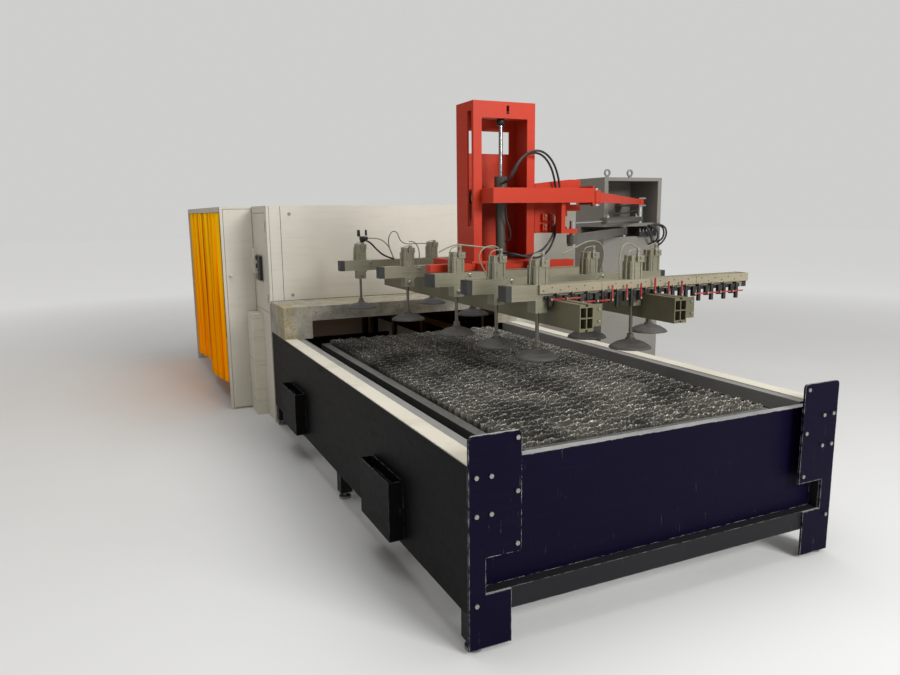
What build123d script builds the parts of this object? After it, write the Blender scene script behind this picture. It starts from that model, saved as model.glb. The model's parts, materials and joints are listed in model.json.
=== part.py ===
from build123d import *
import os
from math import atan2, cos, degrees, hypot, radians, sin, tan

os.makedirs("parts", exist_ok=True)

# Laser cutting machine: a shuttle table with a slatted pallet, a cutting cell with a gantry
# behind it, and a loader with a suction frame on a swinging parallel linkage.
# The drawing is set out from the table's near left outer corner on the floor:
# +X runs along the near end, +Y towards the cutting cell, +Z up. The part's own origin
# is the centre of the near left levelling foot, so every piece is shifted by the foot's place.

# Table
table_width = 2200
table_end = 3881
side_panel_low = 179
side_panel_high = 843
side_sheet = 5
side_flange = 40
cover_width = 100
cover_thick = 5
inner_rail_width = 56
inner_rail_gap = 2
post_size = 80
post_low = 45
frame_gap = 1
frame_tube = 80
lower_beam_high = 265
lower_beam_tall = 100
cross_member_count = 5
frame_out = side_sheet + frame_gap
frame_in = frame_out + post_size
frame_top = side_panel_high - side_sheet - frame_gap
foot_x = frame_out + post_size / 2

# Near end
end_panel_set_back = 66
end_panel_high = 830
end_panel_sheet = 8
end_panel_lip = 45
plate_thick = 12
plate_width = 253
plate_low = 430
plate_high = 970
plate_corner = 22
foot_y = plate_thick + post_size / 2
strip_width = 80
lower_plate_width = 205
lower_plate_low = 18
bolt_head_radius = 11
bolt_head_tall = 9
foot_radius = 40
foot_thick = 16
foot_stud_radius = 12

# Pocket boxes on the left side
pocket_length = 450
pocket_out = 80
pocket_low = 215
pocket_high = 530
pocket_wall = 6
pocket_depth = 60
pocket_starts = (743, 2750)

# Pallet
pallet_margin = 287.5
pallet_start = 110
pallet_end_gap = 55
pallet_top = 800
pallet_bar = 60
slat_margin = 57.5
slat_top = 850
slat_root = 826
slat_low = 775
slat_thick = 6
slat_pitch = 75
slat_teeth = 13
slat_end_gap = 75
slat_notch = 20
comb_thick = 6
comb_slot_gap = 1
comb_low = 758
comb_inset = 45
runner_thick = 12
cross_bar_count = 5
rail_width = 40
rail_tall = 60
rail_clear = 0.3
rail_leg_near = 78
rail_stop = 641

# Hood over the mouth of the tunnel
hood_length = 516
hood_low = 843
hood_top = 1110
hood_sheet = 12
cheek_width = 235
lip_low = 1040

# Cutting cell
cell_width = 3300
cell_length = 3560
cell_top = 1939
cell_front_low = 1085
cell_wall = 40
cell_roof = 20
side_opening_inset = 819
side_opening_margin = 191
side_opening_low = 300
side_opening_high = 1850

# Side door on the left face and aisle behind the strip curtain
side_door_inset = 79
side_door_width = 540
side_door_low = 1000
side_door_high = 1880
door_thick = 20
door_gap = 4
lock_out = 34
lock_width = 110
lock_tall = 230
hinge_radius = 7
hinge_gap = 0.3
hinge_length = 80
hinge_leaf = 26
wing_out = 292
wing_inset = 679
wing_sheet = 24
wing_low = 20
lower_box_out = 95
lower_box_length = 300
lower_box_high = 950
strip_count = 12
strip_thick = 4
strip_sag = 10
strip_overlap = 30
strip_gap = 0.3
strip_low = 90
curtain_gap = 80
rail_tube = 30
knob_radius = 16
knob_height = 1300

# Machine bed and gantry inside the cell
bed_side_width = 180
bed_clear = 47.5
bed_end_gap = 60
guide_end_gap = 40
bed_cross_high = 265
bed_cross_count = 4
bed_top = 960
bed_low = 40
guide_tall = 24
guide_wide = 34
bridge_place = 1769
bridge_tall = 240
bridge_deep = 200
bridge_lift = 70
bridge_wall = 12
truck_length = 340
truck_clear = 0.3
truck_lift = 6
way_inset = 20
carriage_gap = 6
carriage_width = 260
carriage_thick = 60
carriage_tall = 340
ram_width = 120
ram_deep = 70
ram_tall = 420
head_radius = 34
head_tall = 170
nozzle_tip = 1010
nozzle_tall = 40
nozzle_tip_radius = 6
head_cone_tall = 30

# Loader tower
tower_left = 2752
tower_width = 640
tower_front = 2800
tower_deep = 430
pedestal_high = 1632
housing_low = 1722
housing_top = 2157
housing_wall = 40
housing_top_plate = 30
eye_radius = 33
eye_hole = 19
eye_thick = 12
shelf_thick = 30
shelf_inset = 30
base_flange = 60
base_flange_tall = 24
eye_inset = 60
eye_first = 70
eye_collar = 16

# Parallel linkage
pin_radius = 22
pin_clear = 0.05
pin_shoulder = 12
upper_root = (3211, 2880)
root_spacing = 180
link_run = (1471, 1324)
upper_low = 1920
upper_root_tall = 44
upper_tip_tall = 70
upper_half = 20
lower_low = 1650
lower_tall = 60
lower_half = 28
link_eye = 38
washer_gap = 3
clevis_half = 40
clevis_thick = 14

# Swing cylinder between the upper root pin and the lower tip pin
swing_height = 1788
swing_barrel_radius = 28
swing_barrel_bore = 22
swing_barrel_length = 1240
swing_rod_radius = 8
swing_gland = 60
swing_eye_tall = 36
swing_piston_back = 900

# Loader head
beam_left = 921
beam_right = 1676
beam_front = 1480
beam_deep = 153
beam_low = 1920
beam_high = 2013
end_plate_thick = 12
end_plate_proud = 14
lug_thick = 10
lug_gap = 2
lug_half = 34
drop_arm_low = 1720
drop_arm_thick = 30
arm_gap = 0.3
drop_web_gap = 80
drop_web_thick = 30
valve_box_left = 1335
valve_box_right = 1615
valve_box_front = 1668
valve_box_deep = 60
valve_box_low = 1865
valve_box_left_high = 2047
valve_box_right_high = 2075
wing_reach = 80
wing_top_low = 2002
wing_foot_high = 1908
box_arm_thick = 14
box_arm_inset = 10
box_arm_wide = 70
valve_panel_low = 1722
valve_panel_right = 1593
valve_panel_thick = 8
panel_notch_left = 1492
panel_notch_low = 1760
panel_notch_high = 1830
spool_columns = (66, 122)
spool_rows = (40, 104)
spool_wide = 36
spool_deep = 26
spool_tall = 46

# Lift column
column_centre = 1096
column_width = 449
column_front = 1650
column_deep = 246
column_sheet = 12
column_flange = 58
column_low = 1541
column_top = 2552
column_head_low = 2450
rear_head_low = 2393
rear_plate_high = 2248
slot_low = 1773
slot_high = 2494
slot_inset = 28
slot_wide = 60
key_slot_aside = 22
key_slot_low = 2477
key_slot_tall = 52
key_slot_wide = 20
cylinder_y = 1705
barrel_radius = 32
barrel_bore = 26
barrel_low = 1565
collar_radius = 41
collar_top = 2091
rod_radius = 13
piston_gap = 0.5
piston_tall = 30
roller_radius = 27
roller_gap = 2
axle_radius = 10
guide_gap = 12
port_half = 22
port_out = 16

# Suction frame
tube_size = 80
tube_wall = 5
tube_low = 1415
tube_places = (670, 1065, 1550, 2280, 3080)
tube_lefts = (563, 542, 533, 475, 433)
tube_rights = (2128, 1860, 1712, 1712, 1712)
cap_length = 34
base_bar = 70
base_spread = 214
base_reach = 536
clamp_half = 60
clamp_tall = 110
beam_profile_width = 82
beam_profile_tall = 134
beam_profile_wall = 6
beam_centres = (834, 1427)
profile_slot = 16
profile_lip = 10
profile_start = 370
profile_end = 3130
clamp_thick = 10
clamp_flange = 40
clamp_flange_thick = 8
scale_left = 718
scale_right = 2163
scale_tall = 46
scale_thick = 14
scale_joint_gap = 2
scale_joints = (1105, 1762)
valve_start = 774
valve_end = 2020
valve_count = 14
valve_side = 24
valve_out = 34
valve_drop = 32
valve_lift = 3
valve_gap = 2
air_rail = 18
plug_aside = 48
plug_radius = 12
plug_drop = 62
plug_set_back = 4
lever_lift = 6
lever_drop = 18
lever_first_up = 4
lever_last_up = 9
lever_length = 80
lever_wide = 8
lever_thick = 6
strap_run = 75
strap_rise = 98
strap_drop = 34
strap_wide = 30
strap_thick = 8

# Lift hoses, from the collar over the beam and down to the barrel's foot
lift_hose_routes = (
    ((1112, 1656, 2064), (1112, 1612, 2064), (1122, 1580, 2104), (1144, 1566, 2164), (1196, 1568, 2218),
     (1276, 1580, 2242), (1360, 1600, 2220), (1426, 1618, 2155), (1468, 1636, 2070), (1491, 1646, 1975),
     (1494, 1646, 1872), (1478, 1626, 1780), (1446, 1618, 1704), (1404, 1618, 1645), (1348, 1604, 1608),
     (1290, 1590, 1590), (1206, 1580, 1582), (1140, 1590, 1580), (1107, 1612, 1580), (1107, 1657, 1580)),
    ((1084, 1656, 2048), (1084, 1606, 2048), (1092, 1566, 2090), (1116, 1546, 2152), (1172, 1544, 2214),
     (1258, 1556, 2252), (1350, 1580, 2244), (1432, 1604, 2188), (1486, 1624, 2100), (1514, 1640, 1998),
     (1514, 1644, 1884), (1499, 1638, 1784), (1467, 1626, 1698), (1425, 1608, 1630), (1370, 1588, 1586),
     (1310, 1568, 1566), (1226, 1556, 1568), (1152, 1556, 1588), (1105, 1574, 1600), (1085, 1606, 1600),
     (1085, 1657, 1600)))

# Suction cups: their places along each cross tube, from the near one
cup_rows = ((738, 1348), (713, 1341, 1812), (695,), (660, 1178), (572, 1200))
cup_radius = 118
cup_tall = 56
cup_rim = 1110
cup_skirt = 5
cup_neck = 26
cup_stroke = 50
stem_radius = 10
stem_clear = 1
cup_body_wide = 84
cup_body_corner = 9
cup_body_tall = 96
cup_groove_deep = 4
cup_groove_wide = 7
cup_groove_aside = 20
cup_bore_end = 6
cup_head_wide = 66
cup_head_tall = 32
cup_port_aside = -4
cup_port_proud = 6
cup_port_overlap = 4
stem_guide_half = 34
stem_guide_tall = 66
stem_top = 1575
hose_radius = 7
fitting_radius = 9
fitting_tall = 40
fitting_low_tall = 18
low_fitting_row = 3
air_radius = 3
air_line_inset = 10
air_line_aside = 18
air_line_lean = 8
air_line_fall = 80

# Places that follow from the sizes above
post_starts = (plate_thick, (table_end - post_size) / 2, table_end - post_size)
cross_starts = [plate_thick + (table_end - frame_tube - plate_thick) * n / (cross_member_count - 1)
                for n in range(cross_member_count)]
bolt_rows = {34: (225, 625, 793), 104: (625, 791), 230: (470, 706, 940)}
bolt_places = [(x, z) for x, heights in bolt_rows.items() for z in heights]

cell_start = table_end
cell_end = cell_start + cell_length
inner_front = cell_start + cell_wall
inner_back = cell_end - cell_wall
hood_start = table_end - hood_length
pallet_left = pallet_margin
pallet_right = table_width - pallet_left
pallet_end = hood_start - pallet_end_gap
pallet_length = pallet_end - pallet_start
slat_left = pallet_left + slat_margin
slat_right = table_width - slat_left
slat_length = slat_right - slat_left
rail_end = cell_end - rail_stop
wing_start = cell_start + wing_inset
side_door_start = cell_start + side_door_inset
side_door_end = side_door_start + side_door_width
side_opening_start = cell_start + side_opening_inset
side_opening_end = cell_end - side_opening_margin
bed_left = pallet_margin - bed_clear - bed_side_width
bridge_y = cell_start + bridge_place
slat_count = round((pallet_length - 2 * slat_end_gap) / slat_pitch) + 1
slat_places = [pallet_start + slat_end_gap + (pallet_length - 2 * slat_end_gap) * n / (slat_count - 1)
               for n in range(slat_count)]
pallet_cross = [pallet_start + pallet_length * n / (cross_bar_count + 1)
                for n in range(1, cross_bar_count + 1)]
runner_low = pallet_top - pallet_bar - runner_thick
rail_top = runner_low - rail_clear
bed_start = inner_front + bed_end_gap
bed_end = inner_back - bed_end_gap
bed_cross_starts = [bed_start + (rail_end - frame_tube - bed_start) * n / (bed_cross_count - 1)
                    for n in range(bed_cross_count)]
bridge_low = bed_top + bridge_lift
bridge_face = bridge_y - bridge_deep / 2
ram_left = (table_width - ram_width) / 2
ram_right = ram_left + ram_width
curtain_start = wing_start + curtain_gap
curtain_end = cell_end - 2 * wing_sheet
strip_high = cell_top - cell_roof - rail_tube
lower_root = (upper_root[0] - root_spacing, upper_root[1])
upper_tip = (upper_root[0] - link_run[0], upper_root[1] - link_run[1])
lower_tip = (lower_root[0] - link_run[0], lower_root[1] - link_run[1])
swing_run = (upper_root[0] - lower_tip[0], upper_root[1] - lower_tip[1])
swing_length = hypot(*swing_run)
swing_angle = degrees(atan2(-swing_run[1], -swing_run[0]))
tube_high = tube_low + tube_size
cup_places = [(n, x) for n, row in enumerate(cup_rows) for x in row]
strap_places = [(n, x) for n, x in cup_places if n > 0 and x + strap_run + strap_wide < tube_rights[n]]


def block(x, y, z):
    """A box between the low and high values of each axis."""
    size = (x[1] - x[0], y[1] - y[0], z[1] - z[0])
    middle = ((x[0] + x[1]) / 2, (y[0] + y[1]) / 2, (z[0] + z[1]) / 2)
    return Pos(*middle) * Box(*size)


def rod(x, y, z0, z1, radius):
    """An upright round bar."""
    return Pos(x, y, (z0 + z1) / 2) * Cylinder(radius, z1 - z0)


def bar_x(x0, x1, y, z, radius):
    """A round bar along X."""
    return Pos((x0 + x1) / 2, y, z) * Rot(0, 90, 0) * Cylinder(radius, x1 - x0)


def bar_y(x, y0, y1, z, radius):
    """A round bar along Y."""
    return Pos(x, (y0 + y1) / 2, z) * Rot(90, 0, 0) * Cylinder(radius, y1 - y0)


def along_y(points, y0, y1):
    """A closed outline of (x, z) points, drawn out along Y."""
    face = make_face(Plane.XZ * Polyline(*points, close=True))
    return Pos(0, y1, 0) * extrude(face, amount=y1 - y0, dir=(0, -1, 0))


def along_x(points, x0, x1):
    """A closed outline of (y, z) points, drawn out along X."""
    face = make_face(Plane.YZ * Polyline(*points, close=True))
    return Pos(x0, 0, 0) * extrude(face, amount=x1 - x0)


def mirror_table(shape):
    """The same piece on the table's other side."""
    return mirror(shape, about=Plane.YZ.offset(table_width / 2))


def spread(first, last, count):
    """Evenly spaced places, both ends included."""
    return [first + (last - first) * n / (count - 1) for n in range(count)]


# Table frame
def table_frame():
    across = (frame_out, frame_in)
    posts = [block(across, (y, y + post_size), (post_low, frame_top)) for y in post_starts]
    low_rail = block(across, (plate_thick, table_end), (lower_beam_high - frame_tube, lower_beam_high))
    high_rail = block(across, (plate_thick, table_end), (frame_top - frame_tube, frame_top))
    half = [*posts, low_rail, high_rail]
    cross = [block((frame_out, table_width - frame_out), (y, y + frame_tube),
                   (lower_beam_high - lower_beam_tall, lower_beam_high)) for y in cross_starts]
    return Part() + [*half, *[mirror_table(shape) for shape in half], *cross]


def side_panel():
    """A sheet with its top edge folded in over the frame."""
    t = side_sheet
    low, high = side_panel_low, side_panel_high
    outline = [(0, low), (t, low), (t, high - t), (side_flange, high - t), (side_flange, high), (0, high)]
    return along_y(outline, plate_thick, table_end - frame_gap)


def top_cover():
    return block((frame_gap, cover_width), (plate_thick, hood_start - frame_gap),
                 (side_panel_high, side_panel_high + cover_thick))


def inner_rail():
    """The bent guard strip between the cover and the pallet's gap."""
    x0 = cover_width + inner_rail_gap
    x1 = x0 + inner_rail_width
    high = side_panel_high
    low = high - frame_tube
    t = side_sheet
    outline = [(x0, high - t), (x0, high), (x1, high), (x1, low), (frame_in, low), (frame_in, low + t),
               (x1 - t, low + t), (x1 - t, high - t)]
    return along_y(outline, end_panel_set_back + end_panel_lip + frame_gap, hood_start - frame_gap)


def near_end_panel():
    """The end sheet with a folded lip along its top."""
    y0 = end_panel_set_back
    y1 = y0 + end_panel_sheet
    lip = y0 + end_panel_lip
    under = end_panel_high - end_panel_sheet
    outline = [(y0, lower_beam_high), (y1, lower_beam_high), (y1, under), (lip, under),
               (lip, end_panel_high), (y0, end_panel_high)]
    return along_x(outline, frame_in, table_width - frame_in)


def corner_plate():
    """The tall guard plate on a near corner, cut away at its waist."""
    outline = [(0, lower_plate_low), (lower_plate_width, lower_plate_low),
               (lower_plate_width, lower_beam_high), (strip_width, lower_beam_high),
               (strip_width, plate_low), (plate_width, plate_low), (plate_width, plate_high),
               (0, plate_high)]
    plate = along_y(outline, 0, plate_thick)
    top_corners = plate.edges().filter_by(Axis.Y).group_by(Axis.Z)[-1]
    return fillet(top_corners, plate_corner)


def corner_bolts():
    heads = [Pos(x, 0, z) * Rot(90, 0, 0) * extrude(RegularPolygon(bolt_head_radius, 6), bolt_head_tall)
             for x, z in bolt_places]
    return [*heads, *[mirror_table(head) for head in heads]]


def levelling_feet():
    feet = []
    for x in (foot_x, table_width - foot_x):
        for y in post_starts:
            pad = rod(x, y + post_size / 2, 0, foot_thick, foot_radius)
            stud = rod(x, y + post_size / 2, 0, post_low, foot_stud_radius)
            feet.append(pad + stud)
    return feet


def pocket_box(start):
    """A sheet metal scoop on the side panel, open at its top."""
    y = (start, start + pocket_length)
    outside = block((-pocket_out, 0), y, (pocket_low, pocket_high))
    inside = block((-pocket_out + pocket_wall, -pocket_wall),
                   (y[0] + pocket_wall, y[1] - pocket_wall), (pocket_high - pocket_depth, pocket_high))
    return outside - inside


# Pallet
def pallet_frame():
    """A welded frame of square bar with cross bars under the slats."""
    x = (pallet_left, pallet_right)
    y = (pallet_start, pallet_end)
    z = (pallet_top - pallet_bar, pallet_top)
    frame = block(x, y, z) - block((x[0] + pallet_bar, x[1] - pallet_bar),
                                   (y[0] + pallet_bar, y[1] - pallet_bar), z)
    bars = [block((x[0] + pallet_bar, x[1] - pallet_bar), (place - pallet_bar / 2, place + pallet_bar / 2),
                  (z[0], comb_low)) for place in pallet_cross]
    return Part() + [frame, *bars]


def pallet_runner():
    return block((pallet_left, pallet_left + rail_width), (pallet_start, pallet_end),
                 (runner_low, pallet_top - pallet_bar))


def pallet_rail():
    """The long flat rail under one side of the pallet, on legs from the table and the bed."""
    x = (pallet_left, pallet_left + rail_width)
    rail = block(x, (rail_leg_near, rail_end), (rail_top - rail_tall, rail_top))
    near_leg = block(x, (rail_leg_near, cross_starts[0] + frame_tube), (lower_beam_high, rail_top - rail_tall))
    table_legs = [block(x, (y, y + frame_tube), (lower_beam_high, rail_top - rail_tall))
                  for y in cross_starts[1:]]
    bed_legs = [block(x, (y, y + frame_tube), (bed_cross_high, rail_top - rail_tall))
                for y in bed_cross_starts]
    return Part() + [rail, near_leg, *table_legs, *bed_legs]


def slat():
    """One slat with a saw-toothed top, its ends notched to rest on the pallet's frame."""
    step = slat_length / slat_teeth
    teeth = []
    for n in range(slat_teeth):
        x = slat_left + n * step
        teeth += [(x, slat_root), (x + step / 2, slat_top)]
    inner_left, inner_right = slat_left + slat_notch, slat_right - slat_notch
    outline = [(inner_left, slat_low), (inner_left, pallet_top), (slat_left, pallet_top), *teeth,
               (slat_right, slat_root), (slat_right, pallet_top), (inner_right, pallet_top),
               (inner_right, slat_low)]
    return along_y(outline, -slat_thick / 2, slat_thick / 2)


def support_slats():
    one = slat()
    return [Pos(0, y, 0) * one for y in slat_places]


def comb(x):
    """A notched strip that holds the slats upright."""
    half = slat_thick / 2 + comb_slot_gap
    outline = [(pallet_start + pallet_bar, comb_low), (pallet_start + pallet_bar, pallet_top)]
    for y in slat_places:
        outline += [(y - half, pallet_top), (y - half, slat_low), (y + half, slat_low),
                    (y + half, pallet_top)]
    outline += [(pallet_end - pallet_bar, pallet_top), (pallet_end - pallet_bar, comb_low)]
    return along_x(outline, x, x + comb_thick)


# Hood
def hood_shell():
    """The box over the tunnel mouth: two cheeks, a lip and side sheets."""
    x = (0, table_width)
    y = (hood_start, cell_start)
    outside = block(x, y, (hood_low, hood_top))
    inside = block((hood_sheet, table_width - hood_sheet), (hood_start + hood_sheet, cell_start),
                   (hood_low, hood_top - hood_sheet))
    mouth = block((cheek_width, table_width - cheek_width), (hood_start, hood_start + hood_sheet),
                  (hood_low, lip_low))
    return outside - inside - mouth


def drip_edge():
    """The folded drip edge at the mouth of the tunnel, under the lip."""
    y = hood_start + hood_sheet
    outline = [(y, lip_low), (y + 40, lip_low + 12), (y + 40, lip_low + 18), (y, lip_low + 6)]
    return along_x(outline, cheek_width, table_width - cheek_width)


# Cutting cell
def cell_front():
    """The front wall, standing on the hood over the tunnel and on the floor beside it."""
    y = (cell_start, cell_start + cell_wall)
    wall = block((0, cell_width), y, (0, cell_top - cell_roof))
    tunnel = block((0, table_width), y, (0, cell_front_low))
    return wall - tunnel


def cell_left():
    """The left wall with its side door and the opening behind the strip curtain."""
    x = (0, cell_wall)
    wall = block(x, (inner_front, inner_back), (0, cell_top - cell_roof))
    door = block(x, (side_door_start, side_door_end), (side_door_low, side_door_high))
    opening = block(x, (side_opening_start, side_opening_end), (side_opening_low, side_opening_high))
    return wall - door - opening


def cell_right():
    x = (cell_width - cell_wall, cell_width)
    return block(x, (inner_front, inner_back), (0, cell_top - cell_roof))


def cell_back():
    y = (inner_back, cell_end)
    return block((0, cell_width), y, (0, cell_top - cell_roof))


def cell_roof_sheet():
    return block((0, cell_width), (cell_start, cell_end), (cell_top - cell_roof, cell_top))


def side_door():
    """The flush door in the left wall."""
    y = (side_door_start + door_gap, side_door_end - door_gap)
    z = (side_door_low + door_gap, side_door_high - door_gap)
    x = -hinge_radius - hinge_gap
    knuckles = []
    for low in (z[0] + hinge_length, z[1] - 2 * hinge_length):
        leaf = block((x, 0), (y[0], y[0] + hinge_leaf), (low, low + hinge_length))
        knuckles.append(leaf + rod(x, side_door_start + door_gap / 2, low, low + hinge_length, hinge_radius))
    return Part() + [block((0, door_thick), y, z), *knuckles]


def side_door_lock():
    """The interlock switch plate on the free edge of the side door."""
    y = side_door_end - door_gap
    z = (side_door_low + side_door_high) / 2
    plate = block((-lock_out, 0), (y - lock_width, y), (z - lock_tall / 2, z + lock_tall / 2))
    lever = block((-lock_out - 20, -lock_out), (y - lock_width + 20, y - lock_width + 50), (z - 60, z + 30))
    return plate + lever


def wing_door():
    """The narrow door that closes the aisle beside the cell, with its hinge knuckles."""
    z = (wing_low, cell_top - cell_roof - door_gap)
    leaf = block((-wing_out + wing_sheet + door_gap, -door_gap), (wing_start, wing_start + wing_sheet), z)
    knuckles = [rod(-hinge_radius - hinge_gap, wing_start + wing_sheet, low, low + hinge_length, hinge_radius)
                for low in spread(z[0] + hinge_length, z[1] - 2 * hinge_length, 3)]
    return Part() + [leaf, *knuckles]


def wing_knob():
    x = -wing_out + wing_sheet + 45
    z = knob_height
    stem = bar_y(x, wing_start - 22, wing_start, z, knob_radius / 2)
    ball = Pos(x, wing_start - 30, z) * Sphere(knob_radius)
    return stem + ball


def wing_frame():
    """Roof, post and back sheet of the aisle behind the curtain."""
    x = (-wing_out, 0)
    roof = block(x, (wing_start, cell_end), (cell_top - cell_roof, cell_top))
    post = block((-wing_out, -wing_out + wing_sheet), (wing_start, wing_start + wing_sheet),
                 (0, cell_top - cell_roof))
    back = block(x, (cell_end - wing_sheet, cell_end), (0, cell_top - cell_roof))
    return roof + post + back


def lower_box():
    """The small cable box beside the foot of the cell."""
    return block((-lower_box_out, 0), (wing_start - lower_box_length - door_gap, wing_start - door_gap),
                 (0, lower_box_high))


def curtain_rail():
    x = -wing_out + rail_tube / 2
    z = (cell_top - cell_roof - rail_tube, cell_top - cell_roof)
    return block((x - rail_tube / 2, x + rail_tube / 2), (curtain_start, curtain_end), z)


def strip_curtain():
    """Overlapping strips with shallow folds, hung from the rail in two layers."""
    step = (curtain_end - curtain_start) / strip_count
    depth = strip_sag + strip_thick
    strips = []
    for n in range(strip_count):
        y = curtain_start + n * step
        width = min(step + strip_overlap, curtain_end - y)
        x = -wing_out + (depth + 2 * strip_gap) * (n % 2)
        line = [(x, y), (x + strip_sag, y + width / 4), (x, y + width / 2), (x + strip_sag, y + width * 3 / 4),
                (x, y + width)]
        back = [(px + strip_thick, py) for px, py in reversed(line)]
        face = make_face(Polyline(*line, *back, close=True))
        strips.append(Pos(0, 0, strip_low) * extrude(face, amount=strip_high - strip_gap - strip_low))
    return strips


# Bed and gantry
def machine_bed():
    """Two box-section walls tied together under the pallet's path."""
    left = block((bed_left, bed_left + bed_side_width), (bed_start, bed_end), (0, bed_top))
    relief = block((bed_left, bed_left + bed_side_width),
                   (bed_start + bed_side_width, bed_end - bed_side_width), (bed_low, bed_top / 2))
    left = left - relief
    cross = [block((bed_left, table_width - bed_left), (y, y + frame_tube), (bed_low, bed_cross_high))
             for y in bed_cross_starts]
    return Part() + [left, mirror_table(left), *cross]


def gantry_guide():
    x = bed_left + bed_side_width / 2
    return block((x - guide_wide / 2, x + guide_wide / 2), (bed_start + guide_end_gap, bed_end - guide_end_gap),
                 (bed_top, bed_top + guide_tall))


def gantry_bridge():
    """The cross beam with a truck over each guide."""
    x = (bed_left, table_width - bed_left)
    y = (bridge_y - bridge_deep / 2, bridge_y + bridge_deep / 2)
    z = (bridge_low, bridge_low + bridge_tall)
    beam = block(x, y, z) - block((x[0] + bed_side_width, x[1] - bed_side_width),
                                  (y[0] + bridge_wall, y[1] - bridge_wall),
                                  (z[0] + bridge_wall, z[1] - bridge_wall))
    truck = block((x[0], x[0] + bed_side_width), (bridge_y - truck_length / 2, bridge_y + truck_length / 2),
                  (bed_top + truck_lift, bridge_low))
    centre = bed_left + bed_side_width / 2
    groove = block((centre - guide_wide / 2 - truck_clear, centre + guide_wide / 2 + truck_clear),
                   (bridge_y - truck_length, bridge_y + truck_length),
                   (bed_top, bed_top + guide_tall + truck_clear))
    truck = truck - groove
    ways = [block((x[0] + bed_side_width, x[1] - bed_side_width), (y[0] - guide_tall, y[0]),
                  (height, height + guide_wide)) for height in (z[0] + way_inset, z[1] - way_inset - guide_wide)]
    return Part() + [beam, truck, mirror_table(truck), *ways]


def head_carriage():
    """The plate that crosses the bridge, grooved for its two ways."""
    x = (table_width / 2 - carriage_width / 2, table_width / 2 + carriage_width / 2)
    y1 = bridge_face - carriage_gap
    y0 = y1 - carriage_thick
    z0 = bridge_low - (carriage_tall - bridge_tall) / 2
    plate = block(x, (y0, y1), (z0, z0 + carriage_tall))
    for height in (bridge_low + way_inset, bridge_low + bridge_tall - way_inset - guide_wide):
        plate = plate - block(x, (bridge_face - guide_tall - truck_clear, y1),
                              (height - truck_clear, height + guide_wide + truck_clear))
    cheeks = [block(side, (y0 - ram_deep, y0), (z0, z0 + carriage_tall))
              for side in ((x[0], ram_left - truck_clear), (ram_right + truck_clear, x[1]))]
    return Part() + [plate, *cheeks]


def cutting_head():
    """The ram with the focusing head and its nozzle."""
    y1 = bridge_face - carriage_gap - carriage_thick - truck_clear
    y0 = y1 - ram_deep
    middle = (y0 + y1) / 2
    centre = table_width / 2
    head_low = nozzle_tip + nozzle_tall
    ram = block((ram_left, ram_right), (y0, y1), (head_low + head_tall, head_low + head_tall + ram_tall))
    body = rod(centre, middle, head_low + head_cone_tall, head_low + head_tall, head_radius)
    cone = Pos(centre, middle, head_low + head_cone_tall / 2) * Cone(head_radius / 2, head_radius, head_cone_tall)
    nozzle = Pos(centre, middle, nozzle_tip + nozzle_tall / 2) * Cone(nozzle_tip_radius, head_radius / 2,
                                                                     nozzle_tall)
    return Part() + [ram, body, cone, nozzle]


# Loader tower
def tower_pedestal():
    """The floor box with a base flange and a shelf for the pins."""
    x = (tower_left, tower_left + tower_width)
    y = (tower_front, tower_front + tower_deep)
    box = block(x, y, (0, pedestal_high))
    flange = block((x[0] - base_flange, x[1] + base_flange), (y[0] - base_flange, y[1] + base_flange),
                   (0, base_flange_tall))
    return box + flange


def tower_housing():
    """The open-fronted steel housing over the pedestal."""
    x = (tower_left, tower_left + tower_width)
    y = (tower_front, tower_front + tower_deep)
    w = housing_wall
    back = block(x, (y[1] - w, y[1]), (pedestal_high, housing_top))
    left = block((x[0], x[0] + w), y, (housing_low, housing_top))
    right = block((x[1] - w, x[1]), y, (pedestal_high, housing_top))
    stub = block((x[0], x[0] + w), (y[1] - 2 * w, y[1] - w), (pedestal_high, housing_low))
    top = block(x, y, (housing_top - housing_top_plate, housing_top))
    shelf = block((x[0] + w, x[1] - w), (y[0] + shelf_inset, y[1] - w), (housing_low, housing_low + shelf_thick))
    return Part() + [back, left, right, stub, top, shelf]


def lifting_eyes():
    """Two eye bolts on the housing's roof."""
    y = tower_front + eye_inset
    z = housing_top + eye_radius + eye_collar / 2
    eyes = []
    for x in (tower_left + eye_first, tower_left + tower_width / 2):
        ring = Pos(x, y, z) * Rot(90, 0, 0) * (Cylinder(eye_radius, eye_thick) - Cylinder(eye_hole, eye_thick))
        collar = rod(x, y, housing_top, housing_top + eye_thick, eye_collar)
        eyes.append(ring + collar)
    return eyes


def root_pins():
    """The two pins in the tower: the lower on the pedestal, the upper between shelf and top plate."""
    (x, y), collar = lower_root, pin_radius + pin_shoulder
    foot = rod(x, y, pedestal_high, lower_low - washer_gap, collar)
    shank = rod(x, y, pedestal_high, lower_low + lower_tall + washer_gap, pin_radius)
    head = rod(x, y, lower_low + lower_tall + washer_gap, housing_low, collar)
    lower = Part() + [foot, shank, head]
    (x, y) = upper_root
    shelf = housing_low + shelf_thick
    eye_low = swing_height - swing_eye_tall / 2
    under = upper_low - washer_gap - clevis_thick
    over = upper_low + upper_root_tall + washer_gap
    foot = rod(x, y, shelf, eye_low - washer_gap, collar)
    shank = rod(x, y, shelf, over + clevis_thick, pin_radius)
    spacer = rod(x, y, eye_low + swing_eye_tall + washer_gap, under, collar)
    back = tower_front + tower_deep - housing_wall
    plates = [block((x - clevis_half, x + clevis_half), (y - clevis_half, back), (z, z + clevis_thick))
              for z in (under, over)]
    upper = Part() + [foot, shank, spacer, *plates]
    return [lower, upper]


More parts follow.
